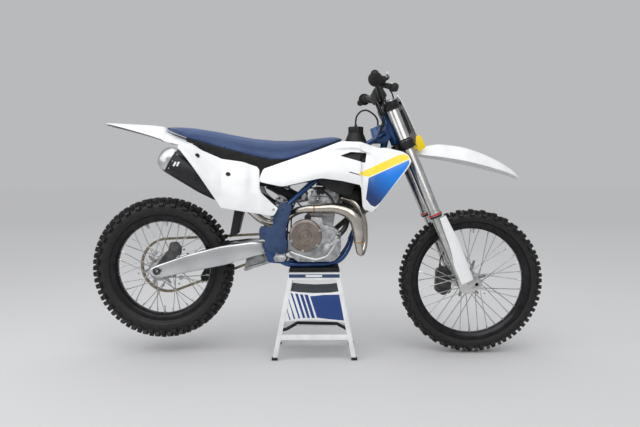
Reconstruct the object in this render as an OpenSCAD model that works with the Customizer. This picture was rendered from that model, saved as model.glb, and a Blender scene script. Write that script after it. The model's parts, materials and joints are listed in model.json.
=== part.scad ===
// Motocross bike on a paddock stand. Millimetres, +X forward, +Y left, +Z up.
// Drawn about the middle of the bike, then moved so that the origin lies on the
// floor under the middle of its overall length.

/* [Wheels] */
// Outer radius of the front tyre, over the knobs
front_tyre_r = 348; // [300:1:350]
// Width of the front tyre
front_tyre_w = 85; // [70:1:110]
// Inner radius of the front rim
front_rim_r = 253; // [210:1:258]
// Outer radius of the rear tyre, over the knobs
rear_tyre_r = 340; // [290:1:360]
// Width of the rear tyre
rear_tyre_w = 110; // [90:1:125]
// Inner radius of the rear rim
rear_rim_r = 222; // [190:1:240]
// Depth from a rim's inside to its tyre seat
rim_depth = 20; // [16:1:24]
// Spokes in each wheel
spoke_count = 36; // [28:4:40]
// Radius of a spoke
spoke_r = 1.9; // [1.5:0.1:2.5]
// Radius of the front axle
front_axle_r = 12; // [9:0.5:14]
// Radius of the rear axle
rear_axle_r = 12.5; // [10:0.5:14.5]
// Radius of the bore through both axles
axle_bore_r = 8; // [5:0.5:8.5]

/* [Steering] */
// Angle of the steering axis from upright
rake = 22.5; // [20:0.5:27]
// Distance of the fork legs ahead of the steering axis
fork_offset = 22; // [14:1:26]
// Half the distance between the fork legs
fork_half = 106; // [98:1:118]
// Radius of the upper fork tubes
fork_r = 28; // [24:0.5:33]
// Radius of the lower fork tubes
leg_r = 24; // [20:0.5:26]
// Distance from the fork seals down to the front axle
fork_drop = 370; // [330:1:440]
// Distance of the front axle ahead of the fork legs
axle_lead = 54; // [40:1:60]
// Radius of the steering stem
stem_r = 17.45; // [14:0.05:21]
// Width over the ends of the handlebar
bar_span = 810; // [700:5:980]
// Radius of the handlebar
bar_r = 11; // [9:0.5:13]

/* [Rear end] */
// Distance from the swingarm pivot to the rear axle
arm_length = 562; // [540:1:675]
// Angle of the swingarm below level
arm_drop = 10.56; // [5:0.1:14]
// Half the width over the swingarm at the rear axle
arm_half = 127; // [120:1:135]
// Teeth on the rear sprocket
sprocket_teeth = 52; // [44:4:60]
// Teeth on the drive sprocket
drive_teeth = 13; // [12:1:16]
// Pitch of the chain
chain_pitch = 15.875; // [15:0.005:16]

/* [Frame] */
// Radius of the lower frame tubes
rail_r = 13; // [11:0.5:15]
// Half the distance between the pivot plates' inner faces
plate_half = 88; // [87:1:92]
// Thickness of the pivot plates
plate_t = 14; // [10:1:18]
// Thickness of the plastic panels
panel_t = 3; // [2:0.5:4]

/* [Stand] */
// Height of the stand up to its top plate
stand_h = 405; // [380:1:406]
// Length of the stand's top plate
stand_top_l = 246; // [200:1:300]
// Width of the stand's top plate
stand_top_w = 240; // [210:1:270]
// Distance between the stand's feet, lengthwise
stand_foot_l = 376; // [320:1:420]
// Distance between the stand's feet, crosswise
stand_foot_w = 292; // [260:1:330]

/* [Hidden] */
$fn = 48;

seat_gap = 0.3;
run_gap = 0.05;

// Places in the side view, as [x, z], with x from the middle of the wheelbase
seal_on_axis = [530.7, 662.6];
pivot = [-190, 520];
drive = [-112, 545];
tail_tip = [-995.5, 1111];
axle_forward = fork_offset + axle_lead;
front_axle_at = seal_on_axis
    + axle_forward * [cos(rake), sin(rake)]
    + fork_drop * [sin(rake), -cos(rake)];
rear_axle_at = pivot - arm_length * [cos(arm_drop), sin(arm_drop)];
rear_end = min(rear_axle_at[0] - rear_tyre_r, tail_tip[0]);
origin_x = (front_axle_at[0] + front_tyre_r + rear_end) / 2;

// Levels along the steering axis, from the fork seals up
plate_ahead = 92;
lower_clamp_w = [337, 375];
upper_clamp_w = [530, 566];
head_gap = 3;
fork_top_w = 572;
bar_at = [300, 1210];

// Across the chain
chain_y = 78;
chain_w = 18;
sprocket_t = 6;
pitch_r = chain_pitch / (2 * sin(180 / sprocket_teeth));
drive_r = chain_pitch / (2 * sin(180 / drive_teeth));
chain_half = 8;

front_disc_y = 58;
front_disc_r = 130;
rear_disc_y = -78;
rear_disc_r = 110;
disc_t = 4;
wheel_gap = 5;

stand_mid_x = -14;
stand_plate_t = 26;
pad_gap = 0.3;

navy = [0.1, 0.16, 0.3];
blue = [0.06, 0.18, 0.42];
white = [0.93, 0.94, 0.95];
black = [0.07, 0.07, 0.08];
silver = [0.72, 0.73, 0.74];

// ---- helpers ----
function unit(v) = v / norm(v);
function blend(a, b, t) = a + (b - a) * t;
function square_to(v, t) = unit(v - (v * t) * t);

// A route whose inner corners are rounded off within reach of each corner
function eased(path, reach, steps = 4) = [
    path[0],
    for (i = [1 : len(path) - 2])
        let (
            before = path[i - 1] - path[i],
            after = path[i + 1] - path[i],
            a = path[i] + unit(before) * min(reach, norm(before) * 0.45),
            c = path[i] + unit(after) * min(reach, norm(after) * 0.45)
        )
        for (k = [0 : steps])
            let (t = k / steps)
            (1 - t) * (1 - t) * a + 2 * t * (1 - t) * path[i] + t * t * c,
    path[len(path) - 1]
];

// An outline whose corners are all rounded off
function eased_loop(path, reach, steps = 3) = [
    for (i = [0 : len(path) - 1])
        let (
            p = path[i],
            before = path[(i + len(path) - 1) % len(path)] - p,
            after = path[(i + 1) % len(path)] - p,
            a = p + unit(before) * min(reach, norm(before) * 0.45),
            c = p + unit(after) * min(reach, norm(after) * 0.45)
        )
        for (k = [0 : steps])
            let (t = k / steps)
            (1 - t) * (1 - t) * a + 2 * t * (1 - t) * p + t * t * c
];

function heading(p, i) = i == 0 ? unit(p[1] - p[0])
    : i == len(p) - 1 ? unit(p[i] - p[i - 1])
    : unit(unit(p[i] - p[i - 1]) + unit(p[i + 1] - p[i]));

// A round bar swept along a route, with a radius at each of its points
module swept(path, radii, sides = 12) {
    count = len(path);
    up = abs(heading(path, 0)[1]) < 0.9 ? [0, 1, 0] : [1, 0, 0];
    normals = [
        for (i = 0, n = square_to(up, heading(path, 0)); i < count;
            i = i + 1, n = i < count ? square_to(n, heading(path, i)) : n) n
    ];
    points = [
        for (i = [0 : count - 1])
            let (n = normals[i], b = cross(heading(path, i), n))
            for (k = [0 : sides - 1])
                path[i] + radii[i] * (cos(360 * k / sides) * n + sin(360 * k / sides) * b)
    ];
    loft_skin(points, count, sides);
}

module loft_skin(points, count, sides) {
    walls = [
        for (i = [0 : count - 2], k = [0 : sides - 1])
            let (
                a = i * sides + k,
                b = i * sides + (k + 1) % sides,
                c = a + sides,
                d = b + sides
            )
            each [[a, c, b], [b, c, d]]
    ];
    last = (count - 1) * sides;
    first_cap = [for (k = [1 : sides - 2]) [0, k, k + 1]];
    last_cap = [for (k = [1 : sides - 2]) [last, last + k + 1, last + k]];
    polyhedron(points, concat(walls, first_cap, last_cap), convexity = 8);
}

module tube(path, r, sides = 12) {
    swept(path, [for (p = path) r], sides);
}

// A solid between two grids of points of the same size
module sheet(top, bottom) {
    rows = len(top);
    cols = len(top[0]);
    half = rows * cols;
    points = concat([for (row = top) each row], [for (row = bottom) each row]);
    skins = [
        for (i = [0 : rows - 2], j = [0 : cols - 2])
            let (a = i * cols + j, b = a + 1, c = a + cols, d = c + 1)
            each [
                [a, b, c], [b, d, c],
                [a + half, c + half, b + half], [b + half, c + half, d + half]
            ]
    ];
    ends = [
        for (j = [0 : cols - 2], last = [0, 1])
            let (a = last * (rows - 1) * cols + j, b = a + 1)
            each last == 1
                ? [[a, b, a + half], [b, b + half, a + half]]
                : [[a, a + half, b], [b, a + half, b + half]]
    ];
    sides = [
        for (i = [0 : rows - 2], last = [0, 1])
            let (a = i * cols + last * (cols - 1), b = a + cols)
            each last == 1
                ? [[a, a + half, b], [b, a + half, b + half]]
                : [[a, b, a + half], [b, b + half, a + half]]
    ];
    polyhedron(points, concat(skins, ends, sides), convexity = 8);
}

module rod(a, b, r) {
    v = b - a;
    translate(a) rotate([0, acos(v[2] / norm(v)), atan2(v[1], v[0])]) cylinder(r = r, h = norm(v));
}

// A cylinder across the bike at [x, z], from y0 to y1
module across(at, y0, y1, r) {
    translate([at[0], y0, at[1]]) rotate([-90, 0, 0]) cylinder(r = r, h = y1 - y0);
}

// A side-view outline from y0 to y1
module slab(points, y0, y1) {
    translate([0, y1, 0]) rotate([90, 0, 0]) linear_extrude(y1 - y0) polygon(points);
}

// A profile of [radius, y] turned about an axle at [x, z]
module turned(at, profile) {
    translate([at[0], 0, at[1]]) rotate([-90, 0, 0]) rotate_extrude() polygon(profile);
}

module placed() {
    translate([-origin_x, 0, 0]) children();
}

module mirrored_pair() {
    children();
    mirror([0, 1, 0]) children();
}

// The frame of the steering: x ahead of the steering axis, z up along it
module on_steering() {
    translate([seal_on_axis[0], 0, seal_on_axis[1]]) rotate([0, -rake, 0]) children();
}

// The frame of the swingarm: x back from the pivot to the rear axle, z up from it
module on_arm() {
    translate([pivot[0], 0, pivot[1]]) rotate([0, -arm_drop, 0]) mirror([1, 0, 0]) children();
}

// ---- chassis ----
head_w = [lower_clamp_w[1] + head_gap, upper_clamp_w[0] - head_gap];
head_r = 30;
top_tube_route = [
    [-172, 87, 690], [-32, 68, 818], [100, 44, 915], [260, 22, 1022], [322, 20, 1062]
];
cradle_route = [
    [-176, 88, 461], [-140, 74, 438], [52, 62, 438], [112, 50, 456], [150, 34, 510], [168, 14, 566]
];
down_tube_route = [
    [162, 0, 548], [250, 0, 746], [300, 0, 880], [318, 0, 990], [330, 0, 1040], [344, 0, 1066]
];
pivot_plate = [
    [-232, 452], [-160, 446], [-150, 500], [-146, 580], [-142, 690], [-176, 712],
    [-204, 690], [-206, 600], [-238, 560], [-240, 500]
];
head_gusset = [[256, 1082], [300, 1100], [338, 1092], [352, 1044], [330, 1012], [270, 1012]];

shock_lug = [[-152, 832], [-138, 854], [-24, 846], [-24, 826], [-130, 824]];

module frame() {
    color(blue) placed() difference() {
        union() {
            on_steering() translate([0, 0, head_w[0]]) cylinder(r = head_r, h = head_w[1] - head_w[0]);
            slab(head_gusset, -22, 22);
            mirrored_pair() {
                tube(eased(top_tube_route, 40), rail_r);
                tube(eased(cradle_route, 36), rail_r);
                slab(eased_loop(pivot_plate, 14), plate_half, plate_half + plate_t);
            }
            tube(eased(down_tube_route, 40), rail_r + 4);
            across([-146, 446], -plate_half - 4, plate_half + 4, 10);
            across([-160, 596], -plate_half - 4, plate_half + 4, 10);
            across([-34, 836], -66, 66, 11);
            across([262, 790], -34 + seat_gap, 34 - seat_gap, 8);
            mirrored_pair() slab(shock_lug, 18 + seat_gap, 28);
        }
        on_steering() translate([0, 0, head_w[0] - 20])
            cylinder(r = stem_r + run_gap, h = head_w[1] - head_w[0] + 40);
        across(pivot, -plate_half - plate_t - 1, plate_half + plate_t + 1, 9);
    }
}

top_rail_route = [[-52, 62, 846], [-176, 54, 884], [-420, 54, 934], [-600, 50, 1008]];
low_rail_route = [[-196, 92, 722], [-330, 54, 800], [-560, 50, 980]];
panel_boss_at = [-330, 800];

module subframe() {
    color(black) placed() {
        mirrored_pair() {
            tube(eased(top_rail_route, 30), 10);
            tube(eased(low_rail_route, 30), 10);
            across(panel_boss_at, 50, 142.6, 7);
        }
        across([-590, 1000], -52, 52, 8);
        across(panel_boss_at, -54, 54, 8);
    }
}

airbox_outline = [[-420, 808.3], [-232, 808.3], [-214, 850], [-220, 886], [-420, 916]];

module airbox() {
    color(black) placed() slab(eased_loop(airbox_outline, 10), -41, 41);
}

guard_outline = [
    [-169, 736], [-122, 724], [-118, 707], [-148, 604], [-153, 571], [-139, 552], [-139, 523],
    [-153, 490], [-181, 486], [-234, 509], [-245, 528], [-243, 561], [-269, 566], [-271, 606],
    [-261, 624], [-210, 618], [-205, 656], [-191, 693]
];

module frame_guards() {
    color(navy) placed() mirrored_pair()
        slab(eased_loop(guard_outline, 6, 2), plate_half + plate_t + seat_gap, plate_half + plate_t + 10);
}

crankcase = [
    [-134, 490], [-92, 456], [74, 456], [104, 480], [112, 520], [112, 590], [60, 624],
    [-60, 640], [-112, 620], [-138, 580]
];
cylinder_block = [[-58, 600], [72, 600], [96, 742], [104, 760], [92, 800], [-10, 808], [-36, 760], [-44, 742]];
stator_case = [[-64, 470], [70, 458], [100, 482], [108, 520], [108, 586], [56, 620], [-56, 632]];
port_at = [90, -8, 752];
port_way = unit([34, -20, -2]);
port_l = 26;

module engine() {
    color(silver) placed() {
        slab(eased_loop(crankcase, 16), -104, 62);
        slab(eased_loop(stator_case, 12), 50, 96);
        slab(eased_loop(cylinder_block, 10), -50, 46);
        rod(port_at, port_at + port_l * port_way, 21);
        across(drive, 50, chain_y + sprocket_t / 2 + 6, 13);
        across(drive, chain_y - sprocket_t / 2, chain_y + sprocket_t / 2, drive_r + 1);
    }
}

clutch_at = [-54, 581];
clutch_r = 76;

module engine_covers() {
    color([0.45, 0.39, 0.36]) placed() {
        turned(clutch_at, [
            [0, -150], [clutch_r - 8, -146], [clutch_r, -138], [clutch_r, -104 - seat_gap], [0, -104 - seat_gap]
        ]);
        turned([18, 560], [[0, 96 + seat_gap], [62, 96 + seat_gap], [62, 118], [54, 126], [0, 130]]);
    }
}

silencer_rear = [-668, 924];
silencer_front = [-416, 772];
silencer_y = -118;
silencer_axis = [silencer_rear[0] - silencer_front[0], 0, silencer_rear[1] - silencer_front[1]];
silencer_tilt = atan2(silencer_axis[2], -silencer_axis[0]);

function along_silencer(along) = [silencer_front[0], silencer_y, silencer_front[1]]
    + along * [-cos(silencer_tilt), 0, sin(silencer_tilt)];

// Ring of an upright oval, square to the silencer's axis
function oval_ring(along, half_w, half_h, sides) =
    let (
        n = [sin(silencer_tilt), 0, cos(silencer_tilt)],
        c = along_silencer(along)
    )
    [for (k = [0 : sides - 1]) let (a = 360 * k / sides) c + half_h * cos(a) * n + [0, half_w * sin(a), 0]];

module oval_loft(stations, sides = 24) {
    loft_skin(
        [for (s = stations) each oval_ring(s[0], s[1], s[2], sides)],
        len(stations),
        sides
    );
}

header_route = concat(
    [port_at + (port_l + seat_gap) * port_way, port_at + (port_l + 30) * port_way],
    [
        [196, -62, 716], [226, -74, 640], [230, -80, 570], [222, -96, 514], [202, -122, 496],
        [192, -134, 530], [192, -138, 600], [168, -132, 668], [100, -124, 702], [0, -122, 704],
        [-66, -112, 700], [-112, -74, 682], [-150, -66, 655], [-190, -62, 636], [-240, -62, 640],
        [-330, -96, 712]
    ],
    [along_silencer(-40), along_silencer(-2 - seat_gap)]
);
header_radii = [
    19, 19, 19, 19, 19, 18, 18, 21, 29, 30, 22, 18, 18, 18, 18, 18, 18, 18, 18, 18
];

module exhaust_header() {
    color([0.66, 0.6, 0.52]) placed() swept(header_route, header_radii, 16);
}

silencer_len = norm(silencer_axis);

module silencer() {
    color(black) placed()
        oval_loft([[-2, 26, 30], [40, 42, 54], [120, 45, 61], [silencer_len, 45, 61]]);
}

module silencer_cap() {
    color(silver) placed()
        oval_loft([
            [silencer_len + seat_gap, 45, 61], [silencer_len + 20, 44, 60],
            [silencer_len + 50, 34, 44], [silencer_len + 58, 22, 26]
        ]);
}

shock_top = [-138, 0, 838];
shock_low = [-262, 0, 452];

module shock_absorber() {
    run = unit(shock_low - shock_top);
    color(silver) placed() {
        rod(shock_top + 6 * run, shock_low - 6 * run, 11);
        rod(shock_top + 40 * run, shock_top + 250 * run, 31);
        rod(shock_top + 30 * run, shock_top + 110 * run, 35);
        across([shock_top[0], shock_top[2]], -18, 18, 14);
        across([shock_low[0], shock_low[2]], -15 + seat_gap, 15 - seat_gap, 12);
    }
}

rocker_outline = [[-352, 410], [-336, 402], [-250, 442], [-250, 462], [-296, 501.7], [-334, 494.7]];
pull_rod_at = [-342, 414];
pull_rod_front = [-204, 457];

module shock_linkage() {
    color(silver) placed() {
        difference() {
            slab(rocker_outline, -30, 30);
            slab([[-280, 400], [-230, 400], [-230, 490], [-280, 474]], -15, 15);
        }
        across(pull_rod_at, -58, 58, 8);
        across(pull_rod_front, -plate_half + seat_gap, plate_half - seat_gap, 8);
        mirrored_pair()
            rod([pull_rod_at[0], 50, pull_rod_at[1]], [pull_rod_front[0], 50, pull_rod_front[1]], 7);
    }
}

// Stations of one swingarm leg: distance back, bottom, top, inner side, outer side
arm_axle_block = [
    [arm_length - 16, -35, 28, arm_half - 29, arm_half],
    [arm_length + 24, -22, 20, arm_half - 28, arm_half - 1],
    [arm_length + 38, -5, 8, arm_half - 27, arm_half - 2]
];
arm_stations = concat(
    [
        [12, -12, 16, 34, 66], [44, -14, 34, 38, 80], [76, -19, 42, 46, 100], [110, -19, 50, 60, 108],
        [250, -33, 58, 70, 119], [arm_length - 182, -33, 51, 78, arm_half - 3],
        [arm_length - 140, -33, 46, arm_half - 32, arm_half - 1]
    ],
    arm_axle_block
);

function arm_ring(s) =
    let (r = min(8, (s[2] - s[1]) * 0.4), loop = [[s[3], s[1]], [s[4], s[1]], [s[4], s[2]], [s[3], s[2]]])
    [for (p = eased_loop(loop, r, 2)) [s[0], p[0], p[1]]];

module swingarm() {
    color(silver) placed() difference() {
        union() {
            on_arm() {
                mirrored_pair() loft_skin([for (s = arm_stations) each arm_ring(s)], len(arm_stations), 12);
                translate([104, -66, 2]) cube([62, 132, 32]);
            }
            across(pivot, -plate_half + seat_gap, plate_half - seat_gap, 22);
        }
        across(rear_axle_at, -arm_half - 1, arm_half + 1, rear_axle_r + seat_gap);
        across(pivot, -plate_half, plate_half, 9);
    }
}

module rear_axle() {
    color(silver) placed() difference() {
        union() {
            across(rear_axle_at, -arm_half - 15, arm_half + 15, rear_axle_r);
            mirrored_pair() {
                across(rear_axle_at, arm_half + seat_gap, arm_half + 12, 18);
                across(rear_axle_at, 86, arm_half - 29 - seat_gap, 17);
            }
        }
        across(rear_axle_at, -arm_half - 20, arm_half + 20, axle_bore_r);
    }
}

// The chain runs round both sprockets on the outer tangents
chain_span = rear_axle_at - drive;
chain_lean = atan2(chain_span[1], -chain_span[0]);
chain_splay = asin((pitch_r - drive_r) / norm(chain_span));

function chain_loop(grow) = concat(
    [
        for (k = [0 : 12])
            let (a = 90 - chain_splay - (180 - 2 * chain_splay) * k / 12 - chain_lean)
            drive + (drive_r + grow) * [cos(a), sin(a)]
    ],
    [
        for (k = [0 : 36])
            let (a = -90 + chain_splay - (180 + 2 * chain_splay) * k / 36 - chain_lean)
            rear_axle_at + (pitch_r + grow) * [cos(a), sin(a)]
    ]
);

module chain() {
    slot = sprocket_t / 2 + 0.9;
    color([0.35, 0.33, 0.28]) placed() difference() {
        slab(chain_loop(chain_half), chain_y - chain_w / 2, chain_y + chain_w / 2);
        slab(chain_loop(-chain_half), chain_y - chain_w, chain_y + chain_w);
        slab(chain_loop(chain_half - 4), chain_y - slot, chain_y + slot);
    }
}

guide_at = [arm_length - 150, chain_y];

module chain_guide() {
    guide = [[-62, -118], [64, -96], [64, -62], [30, -33.3], [-20, -33.3], [-62, -82]];
    run = chain_loop(chain_half + 1);
    color(black) placed() difference() {
        on_arm() translate([guide_at[0] - 60, 0, 0]) mirror([1, 0, 0]) slab(guide, 64, 92);
        slab(run, chain_y - chain_w / 2 - 1, chain_y + chain_w / 2 + 1);
    }
}

module rear_caliper() {
    body = [[-706, 484], [-690, 546], [-660, 548], [-640, 520], [-644, 484]];
    bracket = [[-766, 424], [-706, 506], [-650, 506], [-656, 486], [-718, 394]];
    color([0.3, 0.3, 0.31]) placed() difference() {
        union() {
            slab(eased_loop(body, 8), rear_disc_y - 14, rear_disc_y + 16);
            slab(eased_loop(bracket, 8), rear_disc_y - 14, rear_disc_y - 8);
        }
        across(rear_axle_at, rear_disc_y - disc_t / 2 - wheel_gap, rear_disc_y + disc_t / 2 + wheel_gap,
            rear_disc_r + wheel_gap);
        across(rear_axle_at, rear_disc_y - 20, rear_disc_y, 17 + seat_gap);
    }
}

// ---- tank, radiators, bodywork ----
module radiators() {
    color([0.25, 0.26, 0.27]) placed() mirrored_pair()
        translate([232, 34, 692]) cube([34, 92, 196]);
}

// Stations of the tank: x, half width, bottom, top, channel half width, channel top
tank_stations = [
    [8, 104, 826, 950, 86, 888],
    [60, 112, 788, 1000.1, 82, 922],
    [104, 115, 770, 1008, 74, 950],
    [136, 116, 768, 1020, 70, 968],
    [158, 116, 768, 1026, 68, 982],
    [200, 112, 900, 1028, 60, 1008],
    [222, 104, 930, 1030, 56, 1018]
];

function tank_outer(s) = [
    [s[0], -s[1], s[2]], [s[0], -s[1], blend(s[2], s[3], 0.6)], [s[0], -s[1] * 0.66, s[3] - 12],
    [s[0], 0, s[3]],
    [s[0], s[1] * 0.66, s[3] - 12], [s[0], s[1], blend(s[2], s[3], 0.6)], [s[0], s[1], s[2]]
];
function tank_inner(s) = [
    [s[0], -s[4], s[2]], [s[0], -s[4], blend(s[2], s[5], 0.6)], [s[0], -s[4], s[5] - 1],
    [s[0], 0, s[5]],
    [s[0], s[4], s[5] - 1], [s[0], s[4], blend(s[2], s[5], 0.6)], [s[0], s[4], s[2]]
];

module fuel_tank() {
    color(black) placed() {
        sheet([for (s = tank_stations) tank_outer(s)], [for (s = tank_stations) tank_inner(s)]);
        translate([186, 0, 1020]) cylinder(r1 = 40, r2 = 34, h = 32);
        mirrored_pair() across([120, 890], 110, 153.3, 9);
    }
}

breather_route = [
    [184, 0, 1078 + 2 * seat_gap], [184, 0, 1122], [196, 0, 1158], [226, 0, 1176],
    [266, 0, 1160], [292, 0, 1128], [292, 0, 1098.7]
];

module tank_cap() {
    color(black) placed() {
        translate([186, 0, 1052 + seat_gap]) cylinder(r = 33, h = 26);
        tube(eased(breather_route, 20), 4, 8);
    }
}

// Stations of the seat: x, half width, bottom, side height, top
seat_stations = [
    [-716, 44, 1078, 1084, 1092],
    [-660, 74, 1052, 1068, 1088],
    [-580, 84, 1022, 1052, 1081],
    [-481, 86, 995, 1032, 1066],
    [-401, 86, 974, 1014, 1050],
    [-301, 84, 946, 992, 1032],
    [-201, 82, 928, 982, 1023],
    [-120, 78, 934, 986, 1022],
    [-40, 70, 964, 1000, 1029],
    [40, 60, 994, 1016, 1038],
    [92, 50, 1012, 1028, 1044],
    [122, 38, 1026, 1032, 1037]
];

function seat_upper(s) = [
    [s[0], -s[1], s[2]], [s[0], -s[1], s[3]], [s[0], -s[1] * 0.86, blend(s[3], s[4], 0.72)],
    [s[0], -s[1] * 0.5, s[4] - 1], [s[0], 0, s[4]],
    [s[0], s[1] * 0.5, s[4] - 1], [s[0], s[1] * 0.86, blend(s[3], s[4], 0.72)],
    [s[0], s[1], s[3]], [s[0], s[1], s[2]]
];
function seat_lower(s) = [
    for (k = [-4 : 4]) [s[0], s[1] * k / 4 * 0.999, s[2] - (abs(k) == 4 ? 0 : 0.5)]
];

module seat() {
    color(navy) placed()
        sheet([for (s = seat_stations) seat_upper(s)], [for (s = seat_stations) seat_lower(s)]);
}

// Stations of the rear fender: x, half width, ridge, drop at the edge
tail_stations = [
    [tail_tip[0], 42, tail_tip[1], 5],
    [-950, 56, 1109, 14],
    [-860, 74, 1104, 34],
    [-790, 84, 1101, 52],
    [-724, 92, 1092, 64],
    [-714, 94, 1070, 50],
    [-640, 98, 1043.6, 42],
    [-580, 100, 1021.2, 30]
];

function fender_row(s, drop) = [
    for (k = [-4 : 4])
        let (t = k / 4)
        [s[0], s[1] * t, s[2] - drop - s[3] * pow(abs(t), 2.6)]
];

module rear_fender() {
    color(white) placed()
        sheet(
            [for (s = tail_stations) fender_row(s, 0)],
            [for (s = tail_stations) fender_row(s, panel_t)]
        );
}

// Stations of a side cover: x, lower edge, upper edge, lower y, upper y, bulge
side_stations = [
    [-629, 985, 996, 172, 164, 0],
    [-572, 912, 1004, 178, 112, 14],
    [-540, 868, 978, 180, 104, 20],
    [-443, 722, 936, 172, 98, 24],
    [-440, 712, 935, 172, 98, 24],
    [-346, 695, 922, 168, 96, 20],
    [-290, 686, 902, 160, 100, 10],
    [-268, 683, 896, 156, 104, 8],
    [-264, 682, 786, 155, 140, 4],
    [-240, 678, 762, 151, 138, 4],
    [-198, 672, 722, 146, 136, 2],
    [-182, 704, 709, 142, 140, 0]
];

function cover_row(s, drop) = [
    for (k = [0 : 5])
        let (t = k / 5)
        [s[0], -blend(s[3], s[4], t) - s[5] * 4 * t * (1 - t) + drop, blend(s[1], s[2], t)]
];

module side_panels() {
    color(white) placed() mirrored_pair()
        sheet([for (s = side_stations) cover_row(s, 0)], [for (s = side_stations) cover_row(s, panel_t)]);
}

// Stations of a shroud: x, lower edge, upper edge, lower y, upper y, bulge
shroud_stations = [
    [-262, 832, 842, 170, 168, 0],
    [-250, 826, 888, 168, 116, 8],
    [-161, 806, 920, 162, 96, 14],
    [18, 845, 982, 160, 86, 20],
    [100, 834, 1014, 164, 78, 24],
    [114, 832, 1018, 166, 80, 24],
    [200, 812, 1014, 172, 96, 22],
    [206, 706, 1012, 168, 98, 26],
    [256, 688, 994, 170, 108, 26],
    [286, 732, 982, 176, 124, 22],
    [312, 768, 984, 182, 140, 16],
    [388, 862, 964, 190, 166, 6],
    [411, 892, 948, 192, 180, 2],
    [422, 916, 924, 192, 190, 0]
];
scoop_outline = [[105, 946], [154, 966], [227, 961], [220, 912]];

module shrouds() {
    color(white) placed() mirrored_pair() difference() {
        sheet([for (s = shroud_stations) cover_row(s, 0)], [for (s = shroud_stations) cover_row(s, panel_t)]);
        slab(eased_loop(scoop_outline, 8), -240, -60);
    }
}

module footpegs() {
    peg = [[-198, 484], [-190, 496], [-146, 496], [-139, 484], [-150, 468], [-190, 468]];
    color(silver) placed() mirrored_pair() {
        slab(peg, 134, 200);
        slab([[-190, 462], [-190, 484], [-158, 484], [-158, 462]], plate_half + plate_t + seat_gap, 134);
    }
}

pedal_route = [
    [-126, -104 - seat_gap, 510], [-126, -150, 510], [-100, -166, 498], [-41, -168, 480], [-4, -168, 472],
    [45, -168, 488], [67, -170, 518], [86, -172, 552]
];

module brake_pedal() {
    color(silver) placed() {
        tube(eased(pedal_route, 14), 6, 10);
        translate([76, -190, 550]) rotate([0, -24, 0]) cube([30, 34, 10]);
    }
}

shift_route = [[-52, 96 + seat_gap, 498], [-52, 142, 498], [-20, 152, 510], [46, 156, 532]];

module shift_lever() {
    color(black) placed() {
        tube(eased(shift_route, 12), 6, 10);
        across([50, 533], 144, 186, 9);
    }
}

module mud_flap() {
    flap = [[-394, 700], [-420, 562], [-380, 582], [-352, 692], [-322, 791.7], [-340, 791.7]];
    color(black) placed() slab(flap, -43, 43);
}

// ---- stand ----
stand_side_lean = atan((stand_foot_w - stand_top_w) / 2 / (stand_h - stand_plate_t));
stand_leg_w = 22;
stand_sheet_t = 18;

// Half the distance between the outer edges of the legs at a height
function leg_half(z) = blend(stand_foot_l / 2 + 8, stand_top_l / 2, z / (stand_h - stand_plate_t));

function side_window(z0, z1) = [
    [-leg_half(z0) + stand_leg_w, z0], [leg_half(z0) - stand_leg_w, z0],
    [leg_half(z1) - stand_leg_w, z1], [-leg_half(z1) + stand_leg_w, z1]
];

module stand_side() {
    top_z = stand_h - stand_plate_t;
    difference() {
        slab([[-leg_half(-4), -4], [leg_half(-4), -4], [leg_half(top_z), top_z], [-leg_half(top_z), top_z]],
            0, stand_sheet_t);
        slab(side_window(-10, 94), -1, stand_sheet_t + 1);
        slab(side_window(118, top_z - 6), -1, stand_sheet_t + 1);
    }
}

module on_stand_side() {
    translate([stand_mid_x, stand_foot_w / 2 - stand_sheet_t, 0]) rotate([stand_side_lean, 0, 0]) children();
}

lever_route = [[-176, 0, 106], [-150, 0, 112], [-97, 0, 142], [95, 0, 138], [136, 0, 116], [152, 0, 106]];

module stand_frame() {
    color(white) placed() difference() {
        union() {
            mirrored_pair() on_stand_side() stand_side();
            translate([stand_mid_x - stand_top_l / 2, -stand_top_w / 2, stand_h - stand_plate_t])
                cube([stand_top_l, stand_top_w, stand_plate_t]);
            for (end = [-1, 1])
                across([stand_mid_x + end * (leg_half(106) - stand_leg_w / 2), 106],
                    -stand_foot_w / 2 + 20, stand_foot_w / 2 - 20, 9);
            tube(eased(lever_route, 20), 7, 8);
        }
        translate([-600, -400, -50]) cube([1200, 800, 50]);
    }
}

module stand_panels() {
    color(navy) placed() mirrored_pair() on_stand_side() {
        low = side_window(176, 310);
        inset = [[seat_gap, 0], [-seat_gap, 0], [-seat_gap, 0], [seat_gap, 0]];
        slab([for (i = [0 : 3]) low[i] + inset[i]], stand_sheet_t - 6, stand_sheet_t - 3);
    }
}

module stand_pad() {
    color(black) placed()
        translate([stand_mid_x - 118, -96, stand_h]) cube([236, 192, 438 - rail_r - pad_gap - stand_h]);
}

// ---- steering ----
bar_end = [236, bar_span / 2, 1266];
bar_route = [
    [bar_at[0], 0, bar_at[1]], [bar_at[0], 84, bar_at[1]], [276, 150, 1250],
    [258, bar_span / 2 - 185, 1268], bar_end
];

module lower_triple_clamp() {
    color(black) placed() on_steering() difference() {
        union() {
            translate([0, 0, lower_clamp_w[0]]) {
                height = lower_clamp_w[1] - lower_clamp_w[0];
                cylinder(r = 34, h = height);
                translate([-20, -fork_half, 0]) cube([58, 2 * fork_half, height]);
                mirrored_pair() translate([fork_offset, fork_half, 0]) cylinder(r = fork_r + 11, h = height);
            }
            translate([-5, -24, lower_clamp_w[0] - 12.4]) cube([54, 48, 14]);
            translate([0, 0, lower_clamp_w[0] + 10])
                cylinder(r = stem_r, h = upper_clamp_w[0] - lower_clamp_w[0] - 10 - seat_gap);
            translate([0, 0, upper_clamp_w[0] - 10]) cylinder(r = 12, h = 58);
            translate([0, 0, upper_clamp_w[1] + seat_gap]) cylinder(r = 16, h = 12);
        }
        mirrored_pair() translate([fork_offset, fork_half, lower_clamp_w[0] - 5])
            cylinder(r = fork_r + seat_gap, h = lower_clamp_w[1] - lower_clamp_w[0] + 10);
    }
}

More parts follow.
